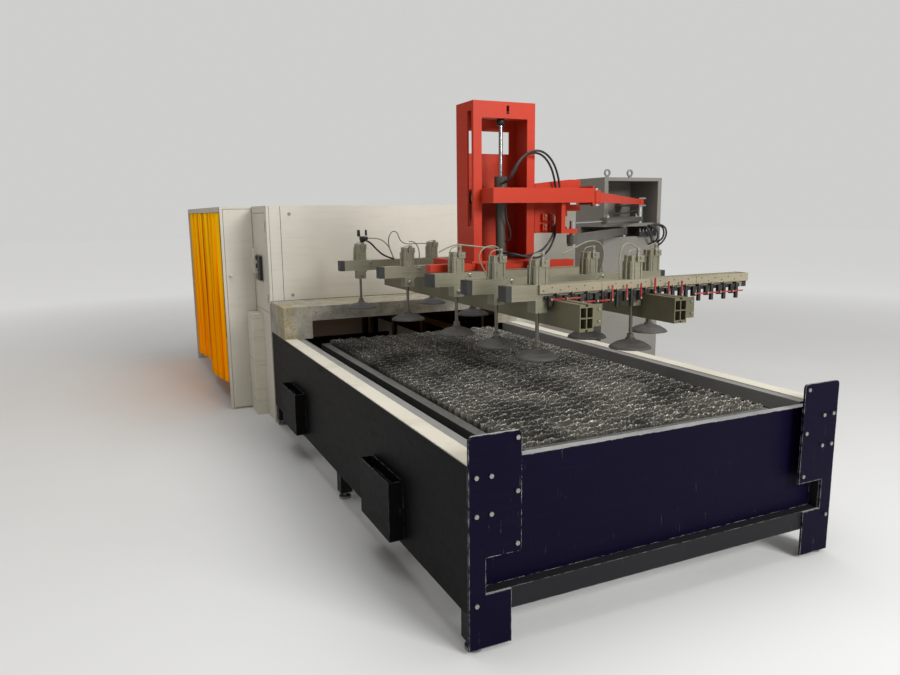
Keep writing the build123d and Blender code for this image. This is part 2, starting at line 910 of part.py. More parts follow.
def link(root, half_wide, low, root_tall, tip_tall):
    """A straight bar with an eye at each end, drawn from its root pin to its tip pin."""
    length = hypot(*link_run)
    angle = degrees(atan2(-link_run[1], -link_run[0]))
    sides = [(0, low), (length, low), (length, low + tip_tall), (0, low + root_tall)]
    face = make_face(Plane.XZ * Polyline(*sides, close=True))
    web = Pos(0, half_wide, 0) * extrude(face, amount=2 * half_wide, dir=(0, -1, 0))
    ends = rod(0, 0, low, low + root_tall, link_eye) + rod(length, 0, low, low + tip_tall, link_eye)
    bores = rod(0, 0, low - 1, low + root_tall + 1, pin_radius + pin_clear) \
        + rod(length, 0, low - 1, low + tip_tall + 1, pin_radius + pin_clear)
    return Pos(root[0], root[1], 0) * Rot(0, 0, angle) * (web + ends - bores)


def swing_barrel():
    """The swing cylinder's barrel, with its eye on the upper root pin."""
    z = swing_height
    r = swing_barrel_radius
    eye = rod(0, 0, z - swing_eye_tall / 2, z + swing_eye_tall / 2, link_eye)
    neck = bar_x(0, link_eye + 40, 0, z, swing_eye_tall / 2)
    tube = bar_x(link_eye + 20, link_eye + 20 + swing_barrel_length, 0, z, r)
    bore = bar_x(link_eye + 20 + swing_gland, link_eye + 21 + swing_barrel_length, 0, z, swing_barrel_bore)
    gland = bar_x(link_eye + 20 + swing_barrel_length - swing_gland, link_eye + 20 + swing_barrel_length, 0, z, r)
    pin_hole = rod(0, 0, z - swing_eye_tall, z + swing_eye_tall, pin_radius + pin_clear)
    rod_hole = bar_x(link_eye + swing_barrel_length - swing_gland, link_eye + 40 + swing_barrel_length, 0, z,
                     swing_rod_radius + stem_clear)
    barrel = (eye + neck + tube - bore + gland) - pin_hole - rod_hole
    return Pos(*upper_root, 0) * Rot(0, 0, swing_angle) * barrel


def swing_rod():
    """The rod with its piston and the eye that meets the lower tip pin."""
    z = swing_height
    bar = bar_x(swing_length - swing_piston_back, swing_length - 10, 0, z, swing_rod_radius)
    piston = bar_x(swing_length - swing_piston_back - 30, swing_length - swing_piston_back, 0, z,
                   swing_barrel_bore - piston_gap)
    end = rod(swing_length, 0, drop_arm_low + drop_arm_thick + arm_gap, z + swing_rod_radius + 5, pin_radius)
    return Pos(*upper_root, 0) * Rot(0, 0, swing_angle) * (Part() + [bar, piston, end])


# Loader head
def head_beam():
    """The front cross beam with its end plate, the upper clevis and the drop arm for the lower link."""
    y = (beam_front, beam_front + beam_deep)
    middle = beam_front + beam_deep / 2
    beam = block((beam_left, beam_right), y, (beam_low, beam_high))
    plate = block((beam_right - end_plate_thick, beam_right), y,
                  (beam_low - end_plate_proud, beam_high + end_plate_proud))
    lugs = []
    for z0 in (upper_low - lug_gap - lug_thick, upper_low + upper_tip_tall + lug_gap):
        lug = block((beam_right, upper_tip[0]), (middle - lug_half, middle + lug_half), (z0, z0 + lug_thick)) \
            + rod(upper_tip[0], upper_tip[1], z0, z0 + lug_thick, lug_half)
        lugs.append(lug)
    hole = rod(*upper_tip, beam_low - 60, beam_high + 60, pin_radius + pin_clear)
    web_right = lower_tip[0] - drop_web_gap
    web = block((web_right - drop_web_thick, web_right), (middle - lug_half, middle + lug_half),
                (drop_arm_low, beam_low))
    arm = block((web_right - drop_web_thick, lower_tip[0]), (middle - lug_half, middle + lug_half),
                (drop_arm_low, drop_arm_low + drop_arm_thick)) \
        + rod(*lower_tip, drop_arm_low, drop_arm_low + drop_arm_thick, lug_half)
    arm_hole = rod(*lower_tip, drop_arm_low - 1, drop_arm_low + drop_arm_thick + 1, pin_radius + pin_clear)
    return Part() + [beam, plate, *[lug - hole for lug in lugs], web, arm - arm_hole]


def tip_pins():
    """The pins at the links' outer ends, each with a head underneath."""
    z0 = upper_low - lug_gap - lug_thick
    z1 = upper_low + upper_tip_tall + lug_gap + lug_thick
    upper = rod(*upper_tip, z0 - pin_shoulder, z0, pin_radius + pin_shoulder) \
        + rod(*upper_tip, z0, z1 + pin_shoulder, pin_radius)
    low = lower_low - washer_gap
    lower = rod(*lower_tip, low - pin_shoulder, low, pin_radius + pin_shoulder) \
        + rod(*lower_tip, low, drop_arm_low + drop_arm_thick, pin_radius)
    return [upper, lower]


def guide_block():
    """The block behind the beam that runs between the column's flanges and clamps the lift cylinder."""
    half = column_width / 2 - column_flange - guide_gap
    shape = block((column_centre - half, column_centre + half),
                  (beam_front + beam_deep, column_front + column_deep - column_sheet - 14),
                  (beam_low, beam_high))
    bore = rod(column_centre, cylinder_y, beam_low - 1, beam_high + 1, barrel_radius + pin_clear)
    return shape - bore


def guide_rollers():
    """Four rollers on stub axles that bear on the flanges of the two channels."""
    start = column_width / 2 - column_flange - guide_gap
    inner = column_width / 2 - column_flange + roller_gap
    outer = column_width / 2 - column_sheet - roller_gap
    front = column_front + column_sheet + roller_gap + roller_radius
    back = column_front + column_deep - column_sheet - roller_gap - roller_radius
    rollers = []
    for y, z in ((front, beam_low + 34), (back, beam_high - 34)):
        axle = bar_x(column_centre + start, column_centre + outer, y, z, axle_radius)
        right = axle + bar_x(column_centre + inner, column_centre + outer, y, z, roller_radius)
        rollers += [right, mirror(right, about=Plane.YZ.offset(column_centre))]
    return rollers


def valve_box():
    """The red housing behind the beam, higher at its right end."""
    outline = [(valve_box_left, valve_box_low), (valve_box_right, valve_box_low),
               (valve_box_right, valve_box_right_high), (valve_box_left, valve_box_left_high)]
    shell = along_y(outline, valve_box_front, valve_box_front + valve_box_deep)
    y = (valve_box_front, valve_box_front + valve_box_deep)
    wings = [block((valve_box_right, valve_box_right + wing_reach), y, z)
             for z in ((wing_top_low, valve_box_right_high), (valve_box_low, wing_foot_high))]
    spans = ((valve_box_left + box_arm_inset, valve_box_left + box_arm_inset + box_arm_wide),
             (valve_box_right - box_arm_wide, valve_box_right))
    arms = [block(x, (beam_front + beam_deep, valve_box_front), (beam_low, beam_low + box_arm_thick))
            for x in spans]
    return Part() + [shell, *wings, *arms]


def valve_panel():
    """The red sheet under the valve box, notched where the swing rod passes."""
    y = (valve_box_front, valve_box_front + valve_panel_thick)
    sheet = block((valve_box_left, valve_panel_right), y, (valve_panel_low, valve_box_low))
    return sheet - block((panel_notch_left, valve_panel_right), y, (panel_notch_low, panel_notch_high))


def panel_valves():
    """Two rows of spool valves on the panel."""
    valves = []
    for column in spool_columns:
        for row in spool_rows:
            x, z = valve_box_left + column, valve_panel_low + row
            valves.append(block((x - spool_wide / 2, x + spool_wide / 2),
                                (valve_box_front - spool_deep, valve_box_front),
                                (z - spool_tall / 2, z + spool_tall / 2)))
    return valves


def lift_cylinder():
    """The barrel with its thick head cap and a port block near its foot."""
    x, y = column_centre, cylinder_y
    barrel = rod(x, y, barrel_low, beam_high, barrel_radius)
    collar = rod(x, y, beam_high, collar_top, collar_radius)
    bore = rod(x, y, barrel_low + 20, beam_high + 10, barrel_bore)
    hole = rod(x, y, beam_high, collar_top + 1, rod_radius + stem_clear)
    port = block((x - port_half, x + port_half), (y - barrel_radius - port_out, y - barrel_radius + 6),
                 (barrel_low, barrel_low + 2 * port_half))
    bosses = [bar_y(route[0][0], route[0][1], y, route[0][2], hose_radius + 4) for route in lift_hose_routes]
    return Part() + [barrel, collar, port, *bosses] - bore - hole


def lift_rod():
    """The chromed rod, with its piston below and its nut under the column's head."""
    x, y = column_centre, cylinder_y
    low = beam_high - piston_tall - 12
    bar = rod(x, y, low, column_head_low, rod_radius)
    piston = rod(x, y, low, low + piston_tall, barrel_bore - piston_gap)
    nut = rod(x, y, column_head_low - 24, column_head_low, rod_radius + 9)
    return Part() + [bar, piston, nut]


# Lift column
def lift_column():
    """Two folded channels joined by head plates and a back plate, on a foot plate."""
    x0 = column_centre - column_width / 2
    y0 = column_front
    y1 = column_front + column_deep
    t = column_sheet
    outline = [(x0, y0), (x0 + column_flange, y0), (x0 + column_flange, y0 + t), (x0 + t, y0 + t),
               (x0 + t, y1 - t), (x0 + column_flange, y1 - t), (x0 + column_flange, y1), (x0, y1)]
    channel = Pos(0, 0, column_low) * extrude(make_face(Polyline(*outline, close=True)),
                                              amount=column_top - column_low)
    slot = block((x0 - 1, x0 + t + 1), (y0 + slot_inset, y0 + slot_inset + slot_wide), (slot_low, slot_high))
    left = channel - slot
    right = mirror(channel, about=Plane.YZ.offset(column_centre))
    inside = (x0 + column_flange, column_centre + column_width / 2 - column_flange)
    key = column_centre + key_slot_aside
    head = block(inside, (y0, y0 + t), (column_head_low, column_top)) \
        - block((key - key_slot_wide / 2, key + key_slot_wide / 2), (y0, y0 + t),
                (key_slot_low, key_slot_low + key_slot_tall))
    cap = block((x0 + t, column_centre + column_width / 2 - t), (y0 + t, y1 - t), (column_top - t, column_top))
    cross = block(inside, (y0, cylinder_y + 30), (column_head_low, column_head_low + 2 * t))
    rear_head = block(inside, (y1 - t, y1), (rear_head_low, column_top))
    back = block(inside, (y1 - t, y1), (column_low, rear_plate_high))
    foot = block((x0 - 24, column_centre + column_width / 2 + 24), (y0 - 20, y1 + 24), (column_low, column_low + t))
    return Part() + [left, right, head, cap, cross, rear_head, back, foot]


def lift_base():
    """The red frame that spreads the column's load over two cross tubes."""
    z = (tube_high, column_low)
    y = (tube_places[2] - tube_size / 2, tube_places[3] + tube_size / 2)
    bars = [block((x, x + base_bar), y, z)
            for x in (column_centre - base_spread, column_centre + base_spread - base_bar)]
    front = column_front - 12
    cross = block((column_centre - base_reach, column_centre + base_reach), (front, front + base_bar), z)
    rear = block((column_centre - base_spread, column_centre + base_spread),
                 (column_front + column_deep - base_bar / 2, column_front + column_deep + base_bar / 2), z)
    return Part() + [*bars, cross, rear]


# Suction frame
def cross_tube(n):
    """A square tube with a bore through both walls at each cup."""
    y = tube_places[n]
    x = (tube_lefts[n], tube_rights[n])
    half = tube_size / 2
    outside = block(x, (y - half, y + half), (tube_low, tube_high))
    inside = block(x, (y - half + tube_wall, y + half - tube_wall), (tube_low + tube_wall, tube_high - tube_wall))
    tube = outside - inside
    for place in [px for number, px in cup_places if number == n]:
        tube = tube - rod(place, y, tube_low - 1, tube_high + 1, stem_radius + stem_clear)
    return tube


def tube_caps():
    caps = []
    half = tube_size / 2
    for y, left, right in zip(tube_places, tube_lefts, tube_rights):
        for x in ((left - cap_length, left), (right, right + cap_length)):
            caps.append(block(x, (y - half, y + half), (tube_low, tube_high)))
    return caps


def profile_beam(centre):
    """A four-cell aluminium extrusion with a T-slot lip along its top and bottom."""
    w = beam_profile_width / 2
    t = beam_profile_wall
    z0 = tube_low - beam_profile_tall
    y = (profile_start, profile_end)
    beam = block((centre - w, centre + w), y, (z0, tube_low))
    middle = (z0 + tube_low) / 2
    for x in ((centre - w + t, centre - t / 2), (centre + t / 2, centre + w - t)):
        for z in ((z0 + t + profile_lip, middle - t / 2), (middle + t / 2, tube_low - t - profile_lip)):
            beam = beam - block(x, y, z)
    for z in ((z0, z0 + profile_lip), (tube_low - profile_lip, tube_low)):
        beam = beam - block((centre - profile_slot / 2, centre + profile_slot / 2), y, z)
    return beam


def clamp_plates():
    """A plate on each profile's side at each tube, the first with a flange that faces forward."""
    plates = []
    for centre in beam_centres:
        x = centre + beam_profile_width / 2
        z = (tube_low - clamp_tall, tube_low)
        for y in tube_places[1:4]:
            plates.append(block((x, x + clamp_thick), (y - clamp_half, y + clamp_half), z))
        web = block((x, x + clamp_thick), (profile_start, tube_places[0] + clamp_half), z)
        flange = block((x + clamp_thick, x + clamp_thick + clamp_flange),
                       (profile_start, profile_start + clamp_flange_thick), z)
        plates.append(web + flange)
    return plates


def scale_bar():
    """The stop rail along the front tube, in three lengths."""
    y = tube_places[0] - tube_size / 2
    ends = (scale_left, *scale_joints, scale_right)
    half = scale_joint_gap / 2
    return [block((left + half, right - half), (y - scale_thick, y), (tube_high - scale_tall, tube_high))
            for left, right in zip(ends, ends[1:])]


def over_profile(left, right):
    """Whether a span along the front tube lies over a profile or its clamp."""
    reach = beam_profile_width / 2 + valve_gap
    return any(left < centre + reach + clamp_thick and right > centre - reach for centre in beam_centres)


def valve_bank():
    """Shut-off valves on one air rail, a plug between each two, all shorter where a profile passes under."""
    y = tube_places[0] - tube_size / 2
    z = tube_low + valve_lift
    half = valve_side / 2
    ends = (valve_start - valve_side, valve_end + plug_aside + valve_side)
    rail = block(ends, (y - air_rail, y), (z, z + air_rail))
    parts = []
    for x in spread(valve_start, valve_end, valve_count):
        low = z if over_profile(x - half, x + half) else tube_low - valve_drop
        parts.append(block((x - half, x + half), (y - valve_out, y - scale_thick), (low, z + air_rail)))
        place = x + plug_aside
        low = z if over_profile(place - plug_radius, place + plug_radius) else tube_low - plug_drop
        plug = extrude(RegularPolygon(plug_radius, 8), z + air_rail + valve_side / 3 - low)
        parts.append(Pos(place, y - plug_radius - plug_set_back, low) * plug)
    return Part() + [rail, *parts]


def valve_levers():
    """The red levers: the middle ones stand upright, the others lie along the rail."""
    y = tube_places[0] - tube_size / 2 - valve_out
    half = lever_wide / 2
    levers = []
    for n, x in enumerate(spread(valve_start, valve_end, valve_count)):
        up = lever_first_up <= n <= lever_last_up
        reach = half if up else lever_length
        over = over_profile(x - half, x + max(reach, valve_side / 2))
        z = tube_low + lever_lift if over else tube_low - lever_drop
        top = z + lever_length if up else z + half
        levers.append(block((x - half, x + reach), (y - lever_thick, y), (z - half, top)))
    return levers


def fitting_height(n):
    return fitting_tall if n < low_fitting_row else fitting_low_tall


def cup_cylinder(n, x):
    """A compact air cylinder on the tube, with its head, port block and fitting."""
    y = tube_places[n]
    half = cup_body_wide / 2
    top = tube_high + cup_body_tall
    body = block((x - half, x + half), (y - half, y + half), (tube_high, top))
    body = chamfer(body.edges().filter_by(Axis.Z), cup_body_corner)
    for side in (-1, 1):
        edge = side * half
        across = sorted((edge, edge - side * cup_groove_deep))
        for along in (-cup_groove_aside, cup_groove_aside):
            lane = (along - cup_groove_wide / 2, along + cup_groove_wide / 2)
            body = body - block((x + across[0], x + across[1]), (y + lane[0], y + lane[1]), (tube_high, top))
            body = body - block((x + lane[0], x + lane[1]), (y + across[0], y + across[1]), (tube_high, top))
    inner = cup_head_wide / 2
    head = block((x - inner, x + inner), (y - inner, y + inner), (top, top + cup_head_tall))
    port = block((x + cup_port_aside, x + half), (y - half - cup_port_proud, y),
                 (top - cup_port_overlap, top + cup_head_tall))
    fitting = rod(x + (cup_port_aside + half) / 2, y - half / 2, top + cup_head_tall,
                  top + cup_head_tall + fitting_height(n), fitting_radius)
    bore = rod(x, y, tube_high, top - cup_bore_end, stem_radius + stem_clear)
    return body + head + port + fitting - bore


def stem_guide(n, x):
    """The block under the tube that guides a cup's stem."""
    y = tube_places[n]
    half = tube_size / 2
    shape = block((x - stem_guide_half, x + stem_guide_half), (y - half, y + half),
                  (tube_low - stem_guide_tall, tube_low))
    return shape - rod(x, y, tube_low - stem_guide_tall, tube_low, stem_radius + stem_clear)


def tube_strap(n, x):
    """A slanted strap with round ends, bolted to the stem's guide and to the tube's front."""
    length = hypot(strap_run, strap_rise)
    middle = (x + strap_run / 2, tube_places[n] - tube_size / 2, tube_low - strap_drop + strap_rise / 2)
    plane = Plane(origin=middle, x_dir=(strap_run, 0, strap_rise), z_dir=(0, -1, 0))
    return extrude(plane * SlotCenterToCenter(length, strap_wide), strap_thick)


def air_lines():
    """A thin hose from each cylinder's fitting over its side and down to the cross tube."""
    lines = []
    half = cup_body_wide / 2
    for n, x in cup_places:
        y = tube_places[n] - half / 2
        high = tube_high + cup_body_tall + cup_head_tall + fitting_height(n) - 2 * air_radius
        start = x + (cup_port_aside + half) / 2 - fitting_radius
        bend = x - half + air_line_inset
        down = x - half - air_line_aside
        route = [(start, y, high), (bend, y, high), (down + air_line_lean, y, high - air_line_lean * 3),
                 (down, y, high - air_line_fall), (down, y, tube_high)]
        lines.append(hose(route, air_radius))
    return lines


def cup_stem(n, x):
    y = tube_places[n]
    low = cup_rim + cup_tall
    return rod(x, y, low, stem_top - cup_stroke, stem_radius) + rod(x, y, low, low + 22, stem_radius + 9)


def suction_cup(n, x):
    """A turned rubber cup with a flared skirt."""
    y = tube_places[n]
    z = cup_rim
    t = cup_skirt
    outline = [(0, z + cup_tall), (cup_neck, z + cup_tall), (cup_neck, z + cup_tall - 14),
               (cup_radius, z + t), (cup_radius, z), (cup_radius - t, z), (cup_neck - t, z + cup_tall - 14 - t),
               (0, z + cup_tall - 14 - t)]
    face = make_face(Plane.XZ * Polyline(*outline, close=True))
    return Pos(x, y, 0) * revolve(face, Axis.Z)


# Hoses
def hose(points, radius):
    """A hose of straight runs joined by arcs as large as the runs allow."""
    points = [Vector(*point) for point in points]
    runs = [b - a for a, b in zip(points, points[1:])]
    bends = []
    for before, after in zip(runs, runs[1:]):
        half_turn = radians(before.get_angle(after) / 2)
        bends.append(0.45 * min(before.length, after.length) / tan(half_turn))
    print("hose bend radii", [round(bend) for bend in bends], "mm")
    path = FilletPolyline(*points, radius=bends)
    start = Plane(origin=path @ 0, z_dir=path % 0)
    return sweep(start * Circle(radius), path=path)


def lift_hoses():
    return [hose(route, hose_radius) for route in lift_hose_routes]


# What each piece is made by, in the order in which the machine is put together
pieces = {
    "table_frame": table_frame(),
    "left_side_panel": side_panel(),
    "right_side_panel": mirror_table(side_panel()),
    "left_top_cover": top_cover(),
    "right_top_cover": mirror_table(top_cover()),
    "left_guard_strip": inner_rail(),
    "right_guard_strip": mirror_table(inner_rail()),
    "near_end_panel": near_end_panel(),
    "left_corner_plate": corner_plate(),
    "right_corner_plate": mirror_table(corner_plate()),
    "corner_bolts": corner_bolts(),
    "levelling_feet": levelling_feet(),
    "pocket_boxes": [pocket_box(start) for start in pocket_starts],
    "left_pallet_rail": pallet_rail(),
    "right_pallet_rail": mirror_table(pallet_rail()),
    "pallet_frame": Part() + [pallet_frame(), pallet_runner(), mirror_table(pallet_runner())],
    "support_slats": support_slats(),
    "slat_combs": [comb(slat_left + comb_inset), comb(slat_right - comb_inset - comb_thick)],
    "hood_shell": hood_shell() + drip_edge(),
    "cell_front_wall": cell_front(),
    "cell_left_wall": cell_left(),
    "cell_right_wall": cell_right(),
    "cell_back_wall": cell_back(),
    "cell_roof": cell_roof_sheet(),
    "side_door": side_door() + side_door_lock(),
    "aisle_frame": wing_frame() + curtain_rail(),
    "aisle_door": wing_door() + wing_knob(),
    "cable_box": lower_box(),
    "strip_curtain": strip_curtain(),
    "machine_bed": Part() + [machine_bed(), gantry_guide(), mirror_table(gantry_guide())],
    "gantry_bridge": gantry_bridge(),
    "head_carriage": head_carriage(),
    "cutting_head": cutting_head(),
    "tower_pedestal": tower_pedestal(),
    "tower_housing": Part() + [tower_housing(), *lifting_eyes()],
    "root_pins": root_pins(),
    "lower_link": link(lower_root, lower_half, lower_low, lower_tall, lower_tall),
    "upper_link": link(upper_root, upper_half, upper_low, upper_root_tall, upper_tip_tall),
    "swing_barrel": swing_barrel(),
    "swing_rod": swing_rod(),
    "head_beam": head_beam(),
    "tip_pins": tip_pins(),
    "guide_block": Part() + [guide_block(), *guide_rollers()],
    "valve_box": valve_box(),
    "valve_panel": Part() + [valve_panel(), *panel_valves()],
    "lift_cylinder": lift_cylinder(),
    "lift_rod": lift_rod(),
    "lift_column": lift_column(),
    "lift_base": lift_base(),
    "lift_hoses": lift_hoses(),
    "cross_tubes": [*[cross_tube(n) for n in range(len(tube_places))],
                    *[tube_strap(n, x) for n, x in strap_places]],
    "tube_caps": tube_caps(),
    "profile_beams": [*[profile_beam(centre) for centre in beam_centres], *clamp_plates()],
    "scale_bar": scale_bar(),
    "valve_bank": valve_bank(),
    "valve_levers": valve_levers(),
    "cup_cylinders": [make(n, x) for n, x in cup_places for make in (cup_cylinder, stem_guide)],
    "air_lines": air_lines(),
    "cup_stems": [cup_stem(n, x) for n, x in cup_places],
    "suction_cups": [suction_cup(n, x) for n, x in cup_places],
}

for name, piece in pieces.items():
    solid = Compound(children=list(piece)) if isinstance(piece, list) else piece
    export_step(Pos(-foot_x, -foot_y, 0) * solid, f"parts/{name}.step")
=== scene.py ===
# %% [markdown]
# # A laser cutting machine with its sheet loader
# The machine's solids come from its CAD model, already at their real size and place. This lesson
# gives each of them its finish, and adds the soft, worn and fine pieces that CAD leaves plain:
# the strip curtain, the scorched slats, the rubber cups, the hoses and the small fittings.

import json
from math import cos, sin, tau

import bmesh
import bpy
from mathutils import Matrix, Vector, noise


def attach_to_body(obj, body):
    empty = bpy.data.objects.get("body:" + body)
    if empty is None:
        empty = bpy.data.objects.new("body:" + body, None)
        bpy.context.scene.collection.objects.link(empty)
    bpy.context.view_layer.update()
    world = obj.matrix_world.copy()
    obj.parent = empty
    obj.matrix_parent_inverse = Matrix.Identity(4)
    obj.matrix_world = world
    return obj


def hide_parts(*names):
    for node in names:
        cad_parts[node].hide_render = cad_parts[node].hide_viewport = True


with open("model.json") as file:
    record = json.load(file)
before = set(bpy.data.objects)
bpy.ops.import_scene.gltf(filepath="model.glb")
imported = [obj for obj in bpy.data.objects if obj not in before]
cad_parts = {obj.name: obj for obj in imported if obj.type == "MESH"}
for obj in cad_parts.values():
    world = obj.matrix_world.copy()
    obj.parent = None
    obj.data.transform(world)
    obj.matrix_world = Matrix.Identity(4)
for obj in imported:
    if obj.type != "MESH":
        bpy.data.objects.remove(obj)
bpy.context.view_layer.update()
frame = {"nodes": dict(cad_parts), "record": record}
nodes = frame["nodes"]
scene = bpy.context.scene
slot_of = {part["node"]: part["material_slot"] for part in frame["record"]["subparts"]}

# %% [markdown]
# ## The camera
# The photograph was taken with a phone's wide lens at eye level, from outside the table's near
# left corner. The camera is set by its three directions, found from the table's straight edges,
# because three angles would be harder to check against the picture.

# %% Camera
right = Vector((0.90525, -0.42474, -0.01066))
up = Vector((0.08174, 0.14947, 0.98538))
ahead = Vector((0.41694, 0.89289, -0.17003))
eye = Vector((-1.2936, -2.5619, 1.8631))
camera = bpy.data.objects.new("camera", bpy.data.cameras.new("camera"))
turn = Matrix((right, up, -ahead)).transposed().to_4x4()
camera.matrix_world = Matrix.Translation(eye) @ turn
camera.data.lens = 28.93
camera.data.sensor_width = 36
scene.collection.objects.link(camera)
scene.camera = camera
print("camera at", [round(value, 2) for value in eye])

# %% [markdown]
# ## Shader maths as plain Python
# A finish is a small recipe of numbers that change over the surface. A socket is wrapped in a
# class with the usual operators, so a recipe reads as arithmetic. Every other node comes from one
# method that takes the node's type, its settings and its inputs.


# %% Wires and recipes
class Wire:
    """One output socket, with arithmetic."""

    def __init__(self, recipe, socket):
        self.recipe, self.socket = recipe, socket

    def maths(self, operation, first, second):
        return self.recipe.node("ShaderNodeMath", {"operation": operation}, {0: first, 1: second})

    def __add__(self, other):
        return self.maths("ADD", self, other)

    def __sub__(self, other):
        return self.maths("SUBTRACT", self, other)

    def __rsub__(self, other):
        return self.maths("SUBTRACT", other, self)

    def __mul__(self, other):
        return self.maths("MULTIPLY", self, other)

    def __or__(self, other):
        """The larger of the two."""
        return self.maths("MAXIMUM", self, other)

    __radd__, __rmul__, __ror__ = __add__, __mul__, __or__


class Recipe:
    """Nodes that are added to one node tree."""

    def __init__(self, tree):
        self.tree = tree

    def node(self, kind, settings=None, inputs=None, output=0):
        made = self.tree.nodes.new(kind)
        for key, value in (settings or {}).items():
            setattr(made, key, value)
        for key, value in (inputs or {}).items():
            socket = made.inputs[key]
            if isinstance(value, Wire):
                self.tree.links.new(value.socket, socket)
            else:
                socket.default_value = (*value, 1) if socket.type == "RGBA" else value
        return Wire(self, made.outputs[output])

    def mix(self, share, first, second):
        """The first colour where share is 0, the second where it is 1."""
        return self.node("ShaderNodeMix", {"data_type": "RGBA"},
                         {0: share, 6: first, 7: second}, output=2)


# %% Finishes
class Finish(Recipe):
    """A material under construction."""

    def __init__(self, name, **constants):
        self.material = bpy.data.materials.new(name)
        self.material.use_nodes = True
        super().__init__(self.material.node_tree)
        self.shader = self.tree.nodes["Principled BSDF"]
        for socket, value in constants.items():
            self.shader.inputs[socket.replace("_", " ")].default_value = value
        self.place = self.node("ShaderNodeTexCoord", output="Object")

    def noise(self, scale, detail=3.0, stretch=(1, 1, 1), rough=0.5):
        """Soft noise from 0 to 1 over the surface, scale in patches per metre."""
        spot = self.node("ShaderNodeMapping", inputs={"Vector": self.place, "Scale": stretch})
        return self.node("ShaderNodeTexNoise", inputs={"Vector": spot, "Scale": scale,
                                                       "Detail": detail, "Roughness": rough})

    def ramp(self, value, low, high):
        """0 below low, 1 above high."""
        return self.node("ShaderNodeMapRange", {"clamp": True},
                         {"Value": value, "From Min": low, "From Max": high})

    def upright(self, vector):
        """The vector's part along Z: a height for a place, an upward turn for a normal."""
        return self.node("ShaderNodeSeparateXYZ", inputs={0: vector}, output="Z")

    def normal(self):
        return self.node("ShaderNodeNewGeometry", output="Normal")

    def edges(self, width):
        """1 along the piece's edges, from how far a rounded edge would turn the normal."""
        rounded = self.node("ShaderNodeBevel", {"samples": 4}, {"Radius": width})
        alike = self.node("ShaderNodeVectorMath", {"operation": "DOT_PRODUCT"},
                          {0: rounded, 1: self.normal()}, output="Value")
        return self.ramp(1 - alike, 0.02, 0.25)

    def feed(self, **sockets):
        for socket, value in sockets.items():
            self.tree.links.new(value.socket, self.shader.inputs[socket.replace("_", " ")])
        return self

    def bump(self, height, distance, strength=0.4):
        return self.feed(Normal=self.node("ShaderNodeBump", inputs={
            "Height": height, "Distance": distance, "Strength": strength}))


# %% [markdown]
# ## Light
# A workshop hall is lit by rows of lamps high up, which give broad soft highlights on every top
# face. Three large area lamps and a dim world do the same: one overhead, one over the camera's
# shoulder and a faint one at the aisle. The camera itself sees a paler world than the one that
# lights the machine, so the background is pale and the paint still keeps its depth.

# %% Lamps
scene.view_settings.view_transform = "Standard"


def area_lamp(name, place, target, size, power):
    lamp = bpy.data.lights.new(name, "AREA")
    lamp.shape = "RECTANGLE"
    lamp.size, lamp.size_y = size
    lamp.energy = power
    thing = bpy.data.objects.new(name, lamp)
    thing.location = place
    thing.rotation_euler = (Vector(target) - Vector(place)).to_track_quat("-Z", "Y").to_euler()
    scene.collection.objects.link(thing)
    print(name, power, "W")


area_lamp("hall_lamp", (1.5, 2.0, 6.5), (1.2, 2.5, 0), (8, 8), 380)
area_lamp("front_lamp", (3.4, -7.4, 5.2), (1.2, 3.2, 1.3), (4, 3), 780)
area_lamp("side_lamp", (-6.0, 4.5, 4.0), (0, 4, 1.0), (3, 5), 8)

# %% World
world_light = (0.22, 0.215, 0.205)
world_seen = (0.62, 0.62, 0.61)
world = bpy.data.worlds.new("world")
scene.world = world
world.use_nodes = True
sky = Recipe(world.node_tree)
straight = sky.node("ShaderNodeLightPath", output="Is Camera Ray")
through = sky.node("ShaderNodeLightPath", output="Is Transmission Ray")
shown = sky.mix(straight | through, world_light, world_seen)
sky.tree.links.new(shown.socket, sky.tree.nodes["Background"].inputs["Color"])
print("world lights with", world_light, "and shows", world_seen)

# %% [markdown]
# ## Painted sheet metal
# Nearly all of the machine is painted steel. What tells one panel from another is its colour, how
# far the paint has worn at the edges, how scratched it is and how much dust lies on it. One recipe
# with those as arguments keeps the panels related, as they are on the real machine. An upward face
# that loads are dragged over is rubbed bare besides.


# %% Paint recipe
def shade(colour, times, plus=0.0):
    """The colour made darker or lighter, kept within 1."""
    return tuple(min(1, c * times + plus) for c in colour)


def paint(name, colour, worn=(0.45, 0.45, 0.44), wear=0.55, scratches=0.4, dust=0.3, rough=0.42,
          edge=0.006, faded=0.12, shine=0.35, rubbed=0.0):
    finish = Finish(name, Specular_IOR_Level=shine)
    patches = finish.noise(1.6, 4)
    specks = finish.noise(22, 5, rough=0.65)
    coat = finish.mix(finish.ramp(patches, 0.35, 0.7), colour, shade(colour, 1 + faded))

    streaks = finish.noise(3.0, 6, stretch=(1, 1, 14), rough=0.7)
    dirt = finish.ramp(streaks, 0.52, 0.78) * dust
    coat = finish.mix(dirt, coat, shade(colour, 0.7, 0.008))

    scores = finish.noise(9, 8, stretch=(7, 7, 0.8), rough=0.75)
    lines = finish.ramp(scores, 0.63, 0.67) * finish.ramp(patches, 0.4, 0.6) * scratches
    coat = finish.mix(lines, coat, shade(colour, 1.3, 0.07))
    if rubbed:
        upward = finish.ramp(finish.upright(finish.normal()), 0.8, 0.95)
        rubbing = upward * (finish.ramp(streaks, 0.3, 0.6) * 0.4 + 0.6) * rubbed
        coat = finish.mix(rubbing, coat, worn)

    bare = finish.edges(edge) * finish.ramp(specks, 0.42, 0.6) * wear
    finish.feed(Base_Color=finish.mix(bare, coat, worn),
                Roughness=finish.ramp(specks, 0, 1) * 0.16 + dirt * 0.2 + (rough - 0.08))
    return finish.bump(finish.noise(140, 2), 0.0006, 0.12)


